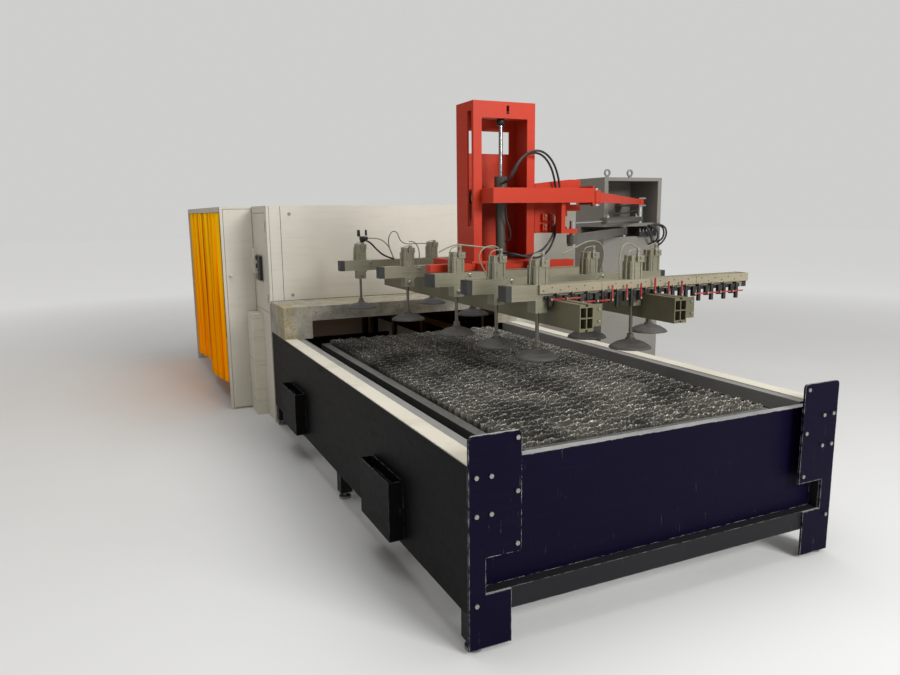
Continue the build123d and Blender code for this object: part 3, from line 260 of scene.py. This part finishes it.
# %% Machine paints
paints = {
    "charcoal_paint": {"colour": (0.0055, 0.0055, 0.006), "scratches": 0.75, "dust": 0.5,
                       "rough": 0.5, "shine": 0.06},
    "navy_paint": {"colour": (0.0032, 0.0022, 0.0125), "wear": 0.9, "edge": 0.008,
                   "scratches": 0.8, "dust": 0.3, "rough": 0.46, "shine": 0.05, "rubbed": 0.75},
    "frame_paint": {"colour": (0.013, 0.013, 0.015), "dust": 0.6, "rough": 0.5, "shine": 0.12},
    "cream_paint": {"colour": (0.66, 0.62, 0.52), "worn": (0.2, 0.19, 0.17), "wear": 0.9,
                    "scratches": 0.7, "dust": 0.9, "rough": 0.4},
    "grey_paint": {"colour": (0.24, 0.237, 0.227), "dust": 0.7},
    "enclosure_paint": {"colour": (0.6, 0.565, 0.49), "worn": (0.3, 0.29, 0.27), "wear": 0.35,
                        "scratches": 0.15, "dust": 0.3, "rough": 0.45},
    "tower_paint": {"colour": (0.2, 0.187, 0.168), "worn": (0.4, 0.39, 0.36), "wear": 0.7,
                    "dust": 0.5},
    "cylinder_grey": {"colour": (0.075, 0.073, 0.062), "worn": (0.4, 0.38, 0.33), "wear": 0.6,
                      "dust": 0.6, "rough": 0.32},
    "loader_red": {"colour": (0.45, 0.036, 0.015), "worn": (0.45, 0.19, 0.12), "wear": 0.45,
                   "scratches": 0.25, "dust": 0.35, "rough": 0.42, "shine": 0.16},
    "grey_green_paint": {"colour": (0.185, 0.174, 0.12), "worn": (0.42, 0.42, 0.37), "wear": 0.7,
                         "dust": 0.95, "rough": 0.4, "faded": 0.35},
    "cream_bar": {"colour": (0.28, 0.245, 0.17), "worn": (0.2, 0.18, 0.12), "wear": 0.8,
                  "scratches": 0.5, "dust": 0.9},
    "lever_red": {"colour": (0.3, 0.012, 0.012), "worn": (0.5, 0.3, 0.28), "wear": 0.7,
                  "rough": 0.3},
    "link_paint": {"colour": (0.085, 0.08, 0.068), "worn": (0.3, 0.29, 0.26), "wear": 0.7,
                   "dust": 0.7},
}
finishes = {name: paint(name, **look) for name, look in paints.items()}
print(len(finishes), "paints")

# %% [markdown]
# ## Bare and plated metal, rubber and plastic
# Rods are chromed, bolts and fittings are plated, profiles are dull aluminium: each is brushed one
# way and stained in clouds. Rubber and hose are near black but never even, because dust greys them
# in patches.


# %% Metals and rubber
def metal(name, colour, rough=0.35, grain=60, stain=None, metallic=1.0, stretch=(1, 1, 12)):
    finish = Finish(name, Metallic=metallic)
    brushed = finish.noise(grain, 4, stretch=stretch)
    cloudy = finish.noise(3.2, 5, rough=0.6)
    skin_colour = finish.mix(finish.ramp(brushed, 0.3, 0.7), shade(colour, 0.78), colour)
    if stain:
        skin_colour = finish.mix(finish.ramp(cloudy, 0.48, 0.72) * 0.5, skin_colour, stain)
    finish.feed(Base_Color=skin_colour, Roughness=brushed * 0.2 + cloudy * 0.15 + (rough - 0.15))
    return finish.bump(brushed, 0.0005, 0.15)


def rubber(name, colour, dusty, rough=0.6):
    finish = Finish(name)
    specks = finish.noise(60, 5, rough=0.6)
    dust = finish.ramp(finish.noise(7, 4), 0.4, 0.75) * finish.ramp(specks, 0.3, 0.7)
    finish.feed(Base_Color=finish.mix(dust, colour, dusty), Roughness=specks * 0.2 + (rough - 0.1))
    return finish.bump(specks, 0.0006, 0.25)


metals = {
    "bolt_steel": {"colour": (0.34, 0.33, 0.3), "rough": 0.3, "stain": (0.13, 0.11, 0.09),
                   "metallic": 0.8},
    "machine_steel": {"colour": (0.36, 0.36, 0.35), "rough": 0.42, "stain": (0.14, 0.11, 0.08)},
    "chromed_rod": {"colour": (0.72, 0.73, 0.74), "rough": 0.18, "grain": 120},
    "profile_aluminium": {"colour": (0.16, 0.145, 0.085), "rough": 0.42, "grain": 30,
                          "stretch": (12, 1, 12), "stain": (0.075, 0.068, 0.04),
                          "metallic": 0.35},
    # The chromed cup stems get a dark base colour: a painted reflection of the dark surroundings.
    "stem_steel_painted_reflection": {"colour": (0.17, 0.155, 0.125), "rough": 0.3, "stain": (0.07, 0.06, 0.045),
                   "metallic": 0.8},
}
rubbers = {
    "hose_black": ((0.012, 0.012, 0.013), (0.06, 0.058, 0.055), 0.45),
    "dark_fitting": ((0.009, 0.009, 0.0095), (0.035, 0.034, 0.03), 0.5),
    "cup_rubber": ((0.05, 0.049, 0.044), (0.14, 0.135, 0.12), 0.6),
    "air_tube": ((0.2, 0.19, 0.13), (0.32, 0.3, 0.22), 0.35),
}
finishes.update({name: metal(name, **look) for name, look in metals.items()})
finishes.update({name: rubber(name, *look) for name, look in rubbers.items()})
print(len(metals), "metals and", len(rubbers), "rubbers")

# %% [markdown]
# ## Heat-stained sheet, orange film and scorched steel
# Three surfaces need a recipe of their own. The hood is bare sheet with ochre heat stains and
# pits. The curtain's film has a painted glow for the light that comes through it, is painted
# brighter towards the top and has painted shade in its folds. The slats wear a dark crust with
# bright sparks of fresh metal along their tops.


# %% Hood, film and slats
def hood_sheet(name):
    finish = Finish(name, Metallic=0.05, Specular_IOR_Level=0.3)
    cloud, speck = finish.noise(2.2, 5, rough=0.6), finish.noise(42, 5, rough=0.7)
    sheet = finish.mix(finish.ramp(finish.noise(9, 4), 0.35, 0.65),
                       (0.24, 0.225, 0.185), (0.4, 0.375, 0.31))
    stains = finish.ramp(cloud, 0.5, 0.64) * finish.ramp(speck, 0.36, 0.54) * 0.85
    stained = finish.mix(stains, sheet, (0.3, 0.225, 0.055))
    pitted = finish.mix(finish.ramp(speck, 0.58, 0.66) * 0.7, stained, (0.07, 0.06, 0.04))
    finish.feed(Base_Color=pitted, Roughness=speck * 0.3 + 0.3)
    return finish.bump(speck, 0.001, 0.3)


def curtain_film(name):
    # Painted light: the emission is a painted glow for the light that comes through the film.
    finish = Finish(name, Roughness=0.28, Specular_IOR_Level=0.0, Emission_Strength=0.22)
    cloud = finish.noise(2.0, 4, stretch=(1, 3.2, 0.35))
    # Painted light: the film is painted brighter and yellower towards the top and in soft clouds.
    bright = finish.ramp(finish.upright(finish.place) * 0.55 + cloud, 0.85, 1.75)
    film = finish.mix(bright, (0.95, 0.34, 0.0), (1.0, 0.72, 0.01))
    # Painted shade: the film is darker orange in noise-drawn folds.
    folds = finish.ramp(finish.noise(5.0, 5, stretch=(1, 3.5, 0.12), rough=0.6), 0.35, 0.62)
    film = finish.mix(folds, (0.66, 0.21, 0.0), film)
    return finish.feed(Base_Color=film, Emission_Color=film)


def scorched_steel(name):
    finish = Finish(name, Metallic=0.35)
    grit, cloud = finish.noise(95, 6, rough=0.75), finish.noise(2.6, 4)
    crust = finish.mix(finish.ramp(cloud, 0.38, 0.6), (0.028, 0.026, 0.02), (0.105, 0.098, 0.08))
    height = finish.upright(finish.place)
    splashed, ridge = finish.ramp(height, 0.81, 0.83), finish.ramp(height, 0.834, 0.847)
    patches = finish.ramp(cloud, 0.35, 0.62) * 0.75 + 0.25
    sparks = finish.ramp(grit, 0.56, 0.6) * patches * splashed
    sparks = sparks | ridge * finish.ramp(grit, 0.42, 0.56) * 0.55
    finish.feed(Base_Color=finish.mix(sparks, crust, (0.72, 0.7, 0.64)),
                Roughness=grit * 0.4 + 0.25)
    return finish.bump(grit, 0.002, 0.6)


finishes["hood_paint"] = hood_sheet("hood_paint")
finishes["curtain_film"] = curtain_film("curtain_film")
finishes["slat_steel"] = scorched_steel("slat_steel")
print(len(finishes), "finishes")

# %% [markdown]
# ## Dressing the solids
# The CAD record names a material slot for every node, and the finishes carry the same names. Two
# nodes look unlike the rest of their slot in the photograph and get a finish of their own.

# %% Dress the nodes
# The cup stems are chromed rods whose finish has a dark base colour as a painted reflection.
own_finish = {"cup_stems": "stem_steel_painted_reflection", "lower_link": "link_paint"}
for name, thing in nodes.items():
    thing.data.materials.clear()
    thing.data.materials.append(finishes[own_finish.get(name, slot_of[name])].material)
print("finishes on", len(nodes), "nodes")

# %% [markdown]
# ## Making pieces in mesh code
# Sizes are easiest to read in the drawing's millimetres, measured from the table's near left
# corner. One helper turns such a place into the model's metres, whose origin is under the near
# left foot. Another makes a piece from faces, gives it its finish and lets it ride with a body.

# %% Helpers for new pieces
foot_x, foot_y = 46, 52


def at(x, y, z):
    return Vector(((x - foot_x) / 1000, (y - foot_y) / 1000, z / 1000))


def attach(name, data, slot, body, stands_for):
    """Give the mesh or curve its finish and let it ride with a body of the machine."""
    data.materials.append(finishes[slot].material)
    thing = bpy.data.objects.new(name, data)
    scene.collection.objects.link(thing)
    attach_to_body(thing, body)
    if stands_for:
        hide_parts(*stands_for)


def piece(name, mesh, slot, body, *stands_for, smooth=True):
    """Link a bmesh as one piece of the machine."""
    data = bpy.data.meshes.new(name)
    bmesh.ops.recalc_face_normals(mesh, faces=mesh.faces)
    mesh.to_mesh(data)
    mesh.free()
    for polygon in data.polygons:
        polygon.use_smooth = smooth
    attach(name, data, slot, body, stands_for)
    print(name, len(data.polygons), "faces")


def skin(mesh, rings):
    """A closed surface through rings of points that have the same count."""
    rows = [[mesh.verts.new(point) for point in ring] for ring in rings]
    count = len(rows[0])
    for low, high in zip(rows, rows[1:]):
        for n in range(count):
            m = (n + 1) % count
            mesh.faces.new((low[n], low[m], high[m], high[n]))
    mesh.faces.new(rows[0][::-1])
    mesh.faces.new(rows[-1])


def wobble(seed, *place):
    """A smooth pseudo-random value from -1 to 1."""
    x, y, z = (*place, 0, 0)[:3]
    return noise.noise(Vector((x + 17.3 * seed, y, z)))


# %% [markdown]
# ## The strip curtain
# The aisle is closed by orange film strips that hang from a rail in two panels, each with its lower
# edge cut aslant. Film from a roll keeps its curl, so each strip is a gentle wave across, the waves
# drift down its length, and the strips overlap like shingles. Each is one thin skin whose
# cross-section is worked out at every height.

# %% Strip curtain
curtain_start, panel_join, curtain_end = 4640, 5900, 7393
curtain_top, lowest_edge, slant = 1885, 96, 150
strip_count, overlap = 12, 70
outer_layer, layer_step = -292, 14.6
fold_depth, film_near, film_far = 10.5, 0.5, 3
rows = columns = 24
strip_step = (curtain_end - curtain_start) / strip_count


def strip(n):
    """The rings of strip n, from its lower edge to the rail."""
    start = curtain_start + n * strip_step
    width = strip_step + (overlap if n < strip_count - 1 else 0)
    panel = (curtain_start, panel_join) if start < panel_join else (panel_join, curtain_end)
    layer = outer_layer + layer_step * (n % 2)
    folds = 1.1 + 2.2 * abs(wobble(n + 7, 0.37))
    lean = 0.05 * wobble(n + 31, 0.41)
    for row in range(rows + 1):
        front, rear = [], []
        hang = 1 - row / rows
        for column in range(columns + 1):
            u = column / columns
            rise = (start + width * u - panel[0]) / (panel[1] - panel[0])
            foot = lowest_edge + slant * (1 - rise) + 14 * wobble(n + 3, 0.7)
            z = foot + (curtain_top - foot) * row / rows
            phase = 2.2 * n + 0.9 * wobble(n, row / 11)
            drift = phase + 1.4 * wobble(n + 3, u * 2.1, row / 7)
            wave = 0.5 - 0.5 * cos(tau * folds * u + drift)
            depth = layer + fold_depth * wave * (0.35 + 0.65 * hang)
            sway = lean * hang + 0.02 * hang * sin(3.1 * tau * u + phase)
            y = min(max(start + width * (u + sway), curtain_start + 1), curtain_end - 1)
            front.append(at(depth + film_near, y, z))
            rear.append(at(depth + film_far, y, z))
        yield front + rear[::-1]


curtain = bmesh.new()
for n in range(strip_count):
    skin(curtain, list(strip(n)))
piece("film_strips", curtain, "curtain_film", "machine", "strip_curtain")

# %% [markdown]
# ## The support slats
# The sheet lies on steel slats whose tops are cut into spikes. Cutting splashes molten dross over
# them, so every spike is swollen and crooked in its own way. The slats are drawn point by point
# along their tops, with the dross as smooth random bumps on top of the cut shape.

# %% Scorched slats
slat_count, teeth, steps_a_tooth = 42, 13, 14
first_slat, slat_span = 185, 3050
slat_start, slat_long, half_thick = 345, 1510, 3
slat_low, end_low, valley, spike_tall = 775, 800, 822, 27.5
highest = valley + spike_tall
steps = teeth * steps_a_tooth


def slat(n):
    """The rings of slat n, one at each step along it."""
    y = first_slat + slat_span * n / (slat_count - 1)
    for m in range(steps + 1):
        u = m / steps
        x = slat_start + slat_long * u
        tooth = 1 - abs(2 * ((u * teeth) % 1) - 1)
        spike = abs(wobble(n + 50, 1.37 * m)) + 0.5 + 0.5 * wobble(n + 70, 0.31 * m)
        top = min(highest, valley + spike_tall * (0.3 * tooth + 0.62 * spike))
        splash = 0.5 + 0.5 * wobble(n, m / 2.9, 4)
        lump = 1.2 + 4.2 * splash * splash
        crest = y + 1.6 * wobble(n + 90, m / 2.3)
        low = slat_low if 0 < m < steps else end_low
        mid = low + (top - low) * 0.6
        outline = ((y - half_thick, low), (y + half_thick, low), (y + half_thick, mid),
                   (crest + lump, top - 5), (crest + lump * 0.3, top),
                   (crest - lump * 0.3, top), (crest - lump, top - 5), (y - half_thick, mid))
        yield [at(x, across, height) for across, height in outline]


slats = bmesh.new()
for n in range(slat_count):
    skin(slats, list(slat(n)))
piece("scorched_slats", slats, "slat_steel", "pallet", "support_slats", smooth=False)

# %% [markdown]
# ## The suction cups
# Each cup is one moulded rubber bell: a neck, a shoulder with two shallow bellows rings, and a thin
# skirt that seals on the sheet. A turned outline says all of that, so the outline is revolved in
# mesh code with enough segments to look round close by.

# %% Rubber cups
cup_outline = [(0, 1164), (24, 1166), (27, 1163), (28, 1156), (38, 1152), (56, 1149), (64, 1143),
               (70, 1144), (82, 1139), (90, 1131), (97, 1130), (108, 1123), (115, 1116),
               (117.7, 1110.6), (116, 1110.2), (108, 1115), (90, 1122), (70, 1130), (40, 1141),
               (0, 1145)]
cup_segments, least_radius = 48, 0.05
tube_rows = (670, 1065, 1550, 2280, 3080)
cup_spots = ((0, 738), (0, 1348), (1, 713), (1, 1341), (1, 1812), (2, 695), (3, 660), (3, 1178),
             (4, 572), (4, 1200))


def turned(x, y, radius, z):
    """A ring of points round an upright axis."""
    radius = max(radius, least_radius)
    angles = [tau * s / cup_segments for s in range(cup_segments)]
    return [at(x + radius * cos(angle), y + radius * sin(angle), z) for angle in angles]


cups = bmesh.new()
for row, x in cup_spots:
    skin(cups, [turned(x, tube_rows[row], radius, z) for radius, z in cup_outline])
piece("rubber_cups", cups, "cup_rubber", "cups", "suction_cups")

# %% [markdown]
# ## Hoses
# A hose bends as one smooth line. Its route is a short list of places, and a NURBS
# curve drawn through their neighbourhood gives the even bend that a thick hose has. The curve's
# bevel gives it its thickness.


# %% Hoses
def hose(name, routes, radius, slot, body, *stands_for):
    data = bpy.data.curves.new(name, "CURVE")
    data.dimensions = "3D"
    data.bevel_depth = radius / 1000
    data.bevel_resolution = 4
    data.use_fill_caps = True
    for route in routes:
        spline = data.splines.new("NURBS")
        spline.points.add(len(route) - 1)
        for point, place in zip(spline.points, route):
            point.co = (*at(*place), 1)
        spline.order_u = 3
        spline.use_endpoint_u = True
        spline.resolution_u = 8
    attach(name, data, slot, body, stands_for)
    print(name, len(routes), "runs")


lift_routes = [
    [(1112, 1656, 2064), (1112, 1612, 2064), (1122, 1580, 2104), (1144, 1566, 2164),
     (1196, 1568, 2218), (1276, 1580, 2242), (1360, 1600, 2220), (1426, 1618, 2155),
     (1468, 1636, 2070), (1491, 1646, 1975), (1494, 1646, 1872), (1478, 1626, 1780),
     (1446, 1618, 1704), (1404, 1618, 1645), (1348, 1604, 1608), (1290, 1590, 1590),
     (1206, 1580, 1582), (1140, 1590, 1580), (1107, 1612, 1580), (1107, 1657, 1580)],
    [(1084, 1656, 2048), (1084, 1606, 2048), (1092, 1566, 2090), (1116, 1546, 2152),
     (1172, 1544, 2214), (1258, 1556, 2252), (1350, 1580, 2244), (1432, 1604, 2188),
     (1486, 1624, 2100), (1514, 1640, 1998), (1514, 1644, 1884), (1499, 1638, 1784),
     (1467, 1626, 1698), (1425, 1608, 1630), (1370, 1588, 1586), (1310, 1568, 1566),
     (1226, 1556, 1568), (1152, 1556, 1588), (1105, 1574, 1600), (1085, 1606, 1600),
     (1085, 1657, 1600)]]
hose("lift_pressure_hoses", lift_routes, 7, "hose_black", "head", "lift_hoses")

# %% [markdown]
# Every suction cylinder has the same thin line: out of its fitting, over its left side and down to
# the cross tube. The two far rows have shorter fittings, so theirs start lower.

# %% Air lines of the cups
tall_rows, tall_port, short_port, tube_top = 3, 1657, 1635, 1495


def air_line(row, x):
    y = tube_rows[row] - 21
    top = tall_port if row < tall_rows else short_port
    return [(x + 10, y, top), (x - 32, y, top), (x - 52, y, top - 24), (x - 60, y, top - 80),
            (x - 60, y, tube_top)]


air_routes = [air_line(row, x) for row, x in cup_spots]
hose("cup_air_lines", air_routes, 3, "air_tube", "lift", "air_lines")

# %% [markdown]
# ## Bolts and fittings
# Small turned and hexagonal parts are all prisms with a chamfered top, so one helper places such a
# prism at a spot and points it along an axis. Another makes a block between two corners. A third
# gathers a list of both into one piece, so a whole family of bolts is a line or two.

# %% Prisms and blocks
UP, FRONT, LEFT, RIGHT = (0, 0, 1), (0, -1, 0), (-1, 0, 0), (1, 0, 0)
chamfer_start, chamfer_size = 0.75, 0.86


def prism(mesh, spot, axis, radius, length, sides=6):
    """A stubby prism from spot along axis, its far end chamfered."""
    spot, aim = Vector(spot), Vector(axis).normalized()
    across = aim.orthogonal().normalized()
    other = aim.cross(across)
    rings = []
    for share, size in ((0, 1), (chamfer_start, 1), (1, chamfer_size)):
        ring = []
        for s in range(sides):
            out = across * cos(tau * s / sides) + other * sin(tau * s / sides)
            ring.append(at(*(spot + aim * length * share + out * radius * size)))
        rings.append(ring)
    skin(mesh, rings)


def slab(mesh, x, y, z):
    """A block between two corners."""
    ring = [(x[0], y[0]), (x[1], y[0]), (x[1], y[1]), (x[0], y[1])]
    skin(mesh, [[at(px, py, height) for px, py in ring] for height in z])


def fitting(name, slot, body, prisms=(), slabs=(), smooth=False):
    """One piece of several blocks and prisms, each given by its helper's arguments."""
    mesh = bmesh.new()
    for sides in slabs:
        slab(mesh, *sides)
    for shape in prisms:
        prism(mesh, *shape)
    piece(name, mesh, slot, body, smooth=smooth)


# %% [markdown]
# Each cylinder's bracket has two bolts with washers on its near face, apart from the first row and
# from the cups beyond the profiles. The profiles' clamp plates have theirs at the near end and
# beside the three middle tubes. The cylinders' heads carry the air ports and their own small screws.

# %% Bolts and cup fittings
profile_centres = (834, 1427)
clamp_bolts = []
for row, x in cup_spots:
    front = tube_rows[row] - 48
    if row and x < 1500:
        for side, z in ((0, 1381), (75, 1479)):
            clamp_bolts.append(((x + side, front, z), FRONT, 12, 2, 20))
            clamp_bolts.append(((x + side, front - 2, z), FRONT, 8, 6))
for centre in profile_centres:
    for z in (1330, 1390):
        clamp_bolts.append(((centre + 73, 370, z), FRONT, 8, 6))
    for y in tube_rows[1:4]:
        for side in (-38, 38):
            clamp_bolts.append(((centre + 51, y + side, 1380), RIGHT, 8, 6))
fitting("clamp_bolts", "bolt_steel", "lift", clamp_bolts)

cylinder_top = 1623
port_fittings = []
for row, x in cup_spots:
    y = tube_rows[row]
    top = cylinder_top + (40 if row < tall_rows else 18)
    port_fittings.append(((x + 19, y - 21, cylinder_top), UP, 13, 12))
    port_fittings.append(((x + 19, y - 21, top - 12), UP, 12, 10))
    port_fittings.append(((x + 19, y - 48, cylinder_top - 11), FRONT, 7, 5, 20))
    for side, along in ((-26, -26), (26, 26), (-26, 26)):
        port_fittings.append(((x + side, y + along, cylinder_top), UP, 5, 4, 16))
fitting("port_fittings", "bolt_steel", "lift", port_fittings)

# %% [markdown]
# ## Thin hoses on the suction frame, at the tower and on the swing cylinder
# These hoses are too fine for the CAD model and have no node there. Their routes follow the
# photograph and keep clear of the two links, which sweep over the suction frame when the loader
# swings out.

# %% Thin hoses on the suction frame
thin_routes = [
    [(627, 3050, 1668), (690, 3045, 1672), (760, 3040, 1650), (812, 3040, 1590),
     (836, 3040, 1530), (845, 3045, 1495)],
    [(861, 3070, 1495), (826, 3066, 1560), (806, 3062, 1650), (838, 3058, 1722),
     (886, 3052, 1716), (906, 3046, 1640), (960, 3040, 1612), (1060, 3034, 1618),
     (1142, 3032, 1614), (1160, 3050, 1612)],
    [(668, 2259, 1664), (700, 2255, 1672), (738, 2250, 1625), (744, 2246, 1545),
     (722, 2246, 1496)],
    [(372, 1090, 1652), (452, 1076, 1696), (540, 1070, 1684), (700, 1058, 1664)],
    [(1123, 1020, 1620), (1225, 1020, 1662), (1310, 1022, 1694), (1392, 1022, 1684),
     (1424, 1022, 1620), (1412, 1030, 1540), (1404, 1040, 1496)],
    [(1250, 652, 1497), (1240, 650, 1580), (1248, 650, 1668), (1300, 650, 1700),
     (1358, 650, 1664)],
    [(716, 1046, 1664), (692, 1034, 1682), (617, 1030, 1676), (580, 1030, 1629),
     (602, 1030, 1575), (632, 1034, 1530), (646, 1040, 1496)]]
hose("cylinder_air_hoses", thin_routes, 4, "air_tube", "lift")
valve_route = [(600, 3052, 1660), (650, 3050, 1640), (700, 3046, 1580), (770, 3044, 1520),
               (850, 3044, 1497)]
hose("valve_air_hoses", [valve_route], 7, "hose_black", "lift")

# %% Hoses at the head, the tower and the swing cylinder
barrel_route = [(1088, 1622, 1919), (1090, 1630, 1860), (1110, 1640, 1800), (1134, 1642, 1750),
                (1138, 1645, 1700), (1130, 1664, 1676), (1112, 1684, 1670)]
hose("barrel_hose", [barrel_route], 6, "hose_black", "head")
tower_routes = [
    [(3290, 2784, 1700), (3292, 2782, 1728), (3320, 2770, 1738), (3368, 2752, 1722),
     (3396, 2748, 1680), (3400, 2760, 1620), (3376, 2780, 1585), (3368, 2801, 1580)],
    [(3254, 2784, 1700), (3256, 2780, 1730), (3300, 2762, 1744), (3366, 2738, 1732),
     (3412, 2734, 1690), (3418, 2745, 1620), (3384, 2778, 1552), (3368, 2801, 1545)],
    [(3218, 2784, 1700), (3218, 2776, 1726), (3240, 2744, 1734), (3300, 2728, 1690),
     (3318, 2735, 1620), (3316, 2770, 1580), (3314, 2801, 1578)],
    [(3182, 2784, 1700), (3182, 2772, 1722), (3194, 2738, 1712), (3222, 2728, 1650),
     (3250, 2740, 1590), (3272, 2775, 1560), (3276, 2801, 1556)]]
hose("tower_hoses", tower_routes, 8, "hose_black", "machine")

barrel_eye, barrel_aim = (3211, 2880), (-0.780131, -0.625617)
barrel_ports = (150, 1175)
barrel_line = ((150, 1836), (165, 1862), (240, 1868), (480, 1846), (760, 1838), (1020, 1850),
               (1150, 1862), (1175, 1836))


def on_barrel(reach, height):
    """A place over the swing cylinder's barrel, so far from its eye in the tower."""
    return (*(eye_at + aim * reach for eye_at, aim in zip(barrel_eye, barrel_aim)), height)


hose("barrel_air_hose", [[on_barrel(*place) for place in barrel_line]], 6, "hose_black", "barrel")

# %% [markdown]
# ## Seams and small fittings
# A cover shows by the dark line round it and by its screw caps. Each seam is a shallow dark
# strip that stands a hair proud of the sheet, which is what a gap looks like at this distance.

# %% Seams and caps
seam_y = (3880.2, 3881)
seam_tall = (1112, 1936)
fitting("cover_seams", "dark_fitting", "machine", slabs=[
    ((119, 123), seam_y, seam_tall), ((22, 25), seam_y, seam_tall),
    ((4, 3296), seam_y, (1110, 1113)), ((2396, 2399), seam_y, seam_tall)])
fitting("screw_caps", "grey_paint", "machine", [
    ((x, 3881, z), FRONT, 15, 5, 24) for z in (1157, 1867) for x in (200, 2320)])

# %% [markdown]
# The side door's lock is a bright plate with a dark latch and two key barrels. A strip under the
# hood's lip and a bar over the pallet's near frame bring both to the depth that the photograph
# shows.

# %% Lock, hood strip and pallet bar
fitting("lock_plate", "machine_steel", "side_door_leaf", slabs=[
    ((-5, -0.4), (4135, 4495), (1262, 1500))])
fitting("lock_latch", "dark_fitting", "side_door_leaf",
        [((-5, 4370, z), LEFT, 22, 16, 16) for z in (1395, 1470)],
        [((-30, -5), (4140, 4250), (1276, 1492))])
fitting("hood_strip", "hood_paint", "machine", slabs=[((236, 1964), (3366, 3376), (990, 1040))])
fitting("pallet_end_bar", "machine_steel", "pallet", slabs=[
    ((350, 1850), (116, 160), (800.3, 822))])

# %% [markdown]
# The tower's air manifold is a dark block with a row of nipples on top, where its hoses start. They
# end in short glands on the tower's face. The swing cylinder has a port near either end, and its
# air hose runs between them.

# %% Manifold and ports
glands = [((x, 2800, z), FRONT, 14, 6, 20)
          for x, z in ((3368, 1580), (3368, 1545), (3314, 1578), (3276, 1556))]
fitting("air_manifold", "dark_fitting", "machine", glands,
        [((3128, 3318), (2768, 2822), (1633, 1676))])
nipples = []
for n in range(5):
    x = 3146 + 36 * n
    nipples += [((x, 2784, 1676), UP, 9, 10), ((x, 2784, 1686), UP, 6, 15, 12)]
fitting("manifold_nipples", "bolt_steel", "machine", nipples)
port_stubs = []
for reach in barrel_ports:
    port_stubs += [(on_barrel(reach, 1812), UP, 14, 16), (on_barrel(reach, 1828), UP, 9, 10, 12)]
fitting("barrel_ports", "bolt_steel", "barrel", port_stubs)

# %% [markdown]
# ## The loader's own fittings
# The last small pieces are the nut on the lift's rod, the swivel where the vacuum enters the far
# tube, the pivots of the valve levers, the screws along the scale bar and the valves' plugs.

# %% Rod nut and swivel
fitting("rod_nut", "dark_fitting", "lift", [
    ((1096, 1705, 2412), UP, 27, 38, 24), ((1118, 1652, 2486), FRONT, 8, 7, 24)], smooth=True)
fitting("vacuum_swivel", "dark_fitting", "lift", [
    ((591, 3059, 1641), UP, 22, 44, 24), ((570, 3059, 1668), RIGHT, 16, 62, 24),
    ((560, 3059, 1684), UP, 13, 52, 8), ((622, 3059, 1690), UP, 9, 46, 8)], smooth=True)

# %% [markdown]
# A lever's pivot sits low on the valve bank, or higher where a profile is in its way. The scale
# bar's screws alternate in height and skip the two places that another part covers.

# %% Lever pivots, bar screws and valve plugs
lever_first, lever_last, lever_count = 774, 2020, 14
pivots = []
for n in range(lever_count):
    x = lever_first + (lever_last - lever_first) * n / (lever_count - 1)
    reach = 12 if 4 <= n <= 9 else 80
    over = any(x - 4 < centre + 53 and x + reach > centre - 43 for centre in profile_centres)
    pivots += [((x, 590, 1421 if over else 1397), FRONT, 6, 4, 16),
               ((x + 48, 610, 1440), UP, 5, 12, 12)]
fitting("lever_pivots", "cream_bar", "lift", pivots)

bar_screws = []
for n in range(28):
    x = 742 + n * 50.5
    if min(abs(x - covered) for covered in (1105, 1762)) > 12:
        bar_screws.append(((x, 616, 1480 if n % 2 else 1464), FRONT, 3.5, 1.2, 12))
fitting("bar_screws", "dark_fitting", "lift", bar_screws)

plugs = []
for x in (1401, 1457):
    for z in (1762, 1826):
        plugs += [((x, 1642, z + 10), FRONT, 8, 10, 16), ((x, 1642, z - 12), FRONT, 6, 8, 16)]
fitting("valve_plugs", "bolt_steel", "head", plugs)

# %% [markdown]
# ## The floor
# The floor is a plain pale plane that is not part of the machine. It glows a little more the
# farther away it lies, so that it meets the background without a dark line at the horizon, and it
# keeps the machine's shadow.

# %% Floor
floor_half, glow_centre, glow_start, glow_full = 60, (1.6, 3.0, 0), 3, 13
floor_mesh = bpy.data.meshes.new("floor")
corners = [(x * floor_half, y * floor_half, 0) for x, y in ((-1, -1), (1, -1), (1, 1), (-1, 1))]
floor_mesh.from_pydata(corners, [], [(0, 1, 2, 3)])
floor = bpy.data.objects.new("floor", floor_mesh)
scene.collection.objects.link(floor)
floor_finish = Finish("floor", Roughness=0.75, Emission_Strength=1.0)
distance = floor_finish.node("ShaderNodeVectorMath", {"operation": "DISTANCE"},
                             {0: floor_finish.place, 1: glow_centre}, output="Value")
far = floor_finish.ramp(distance, glow_start, glow_full)
tone = floor_finish.noise(0.8, 5)
floor_finish.feed(Emission_Color=floor_finish.mix(far, (0, 0, 0), (0.47, 0.47, 0.465)),
                  Base_Color=floor_finish.mix(tone, (0.67, 0.67, 0.66), (0.72, 0.72, 0.71)))
floor_mesh.materials.append(floor_finish.material)
print("floor of", 2 * floor_half, "m")
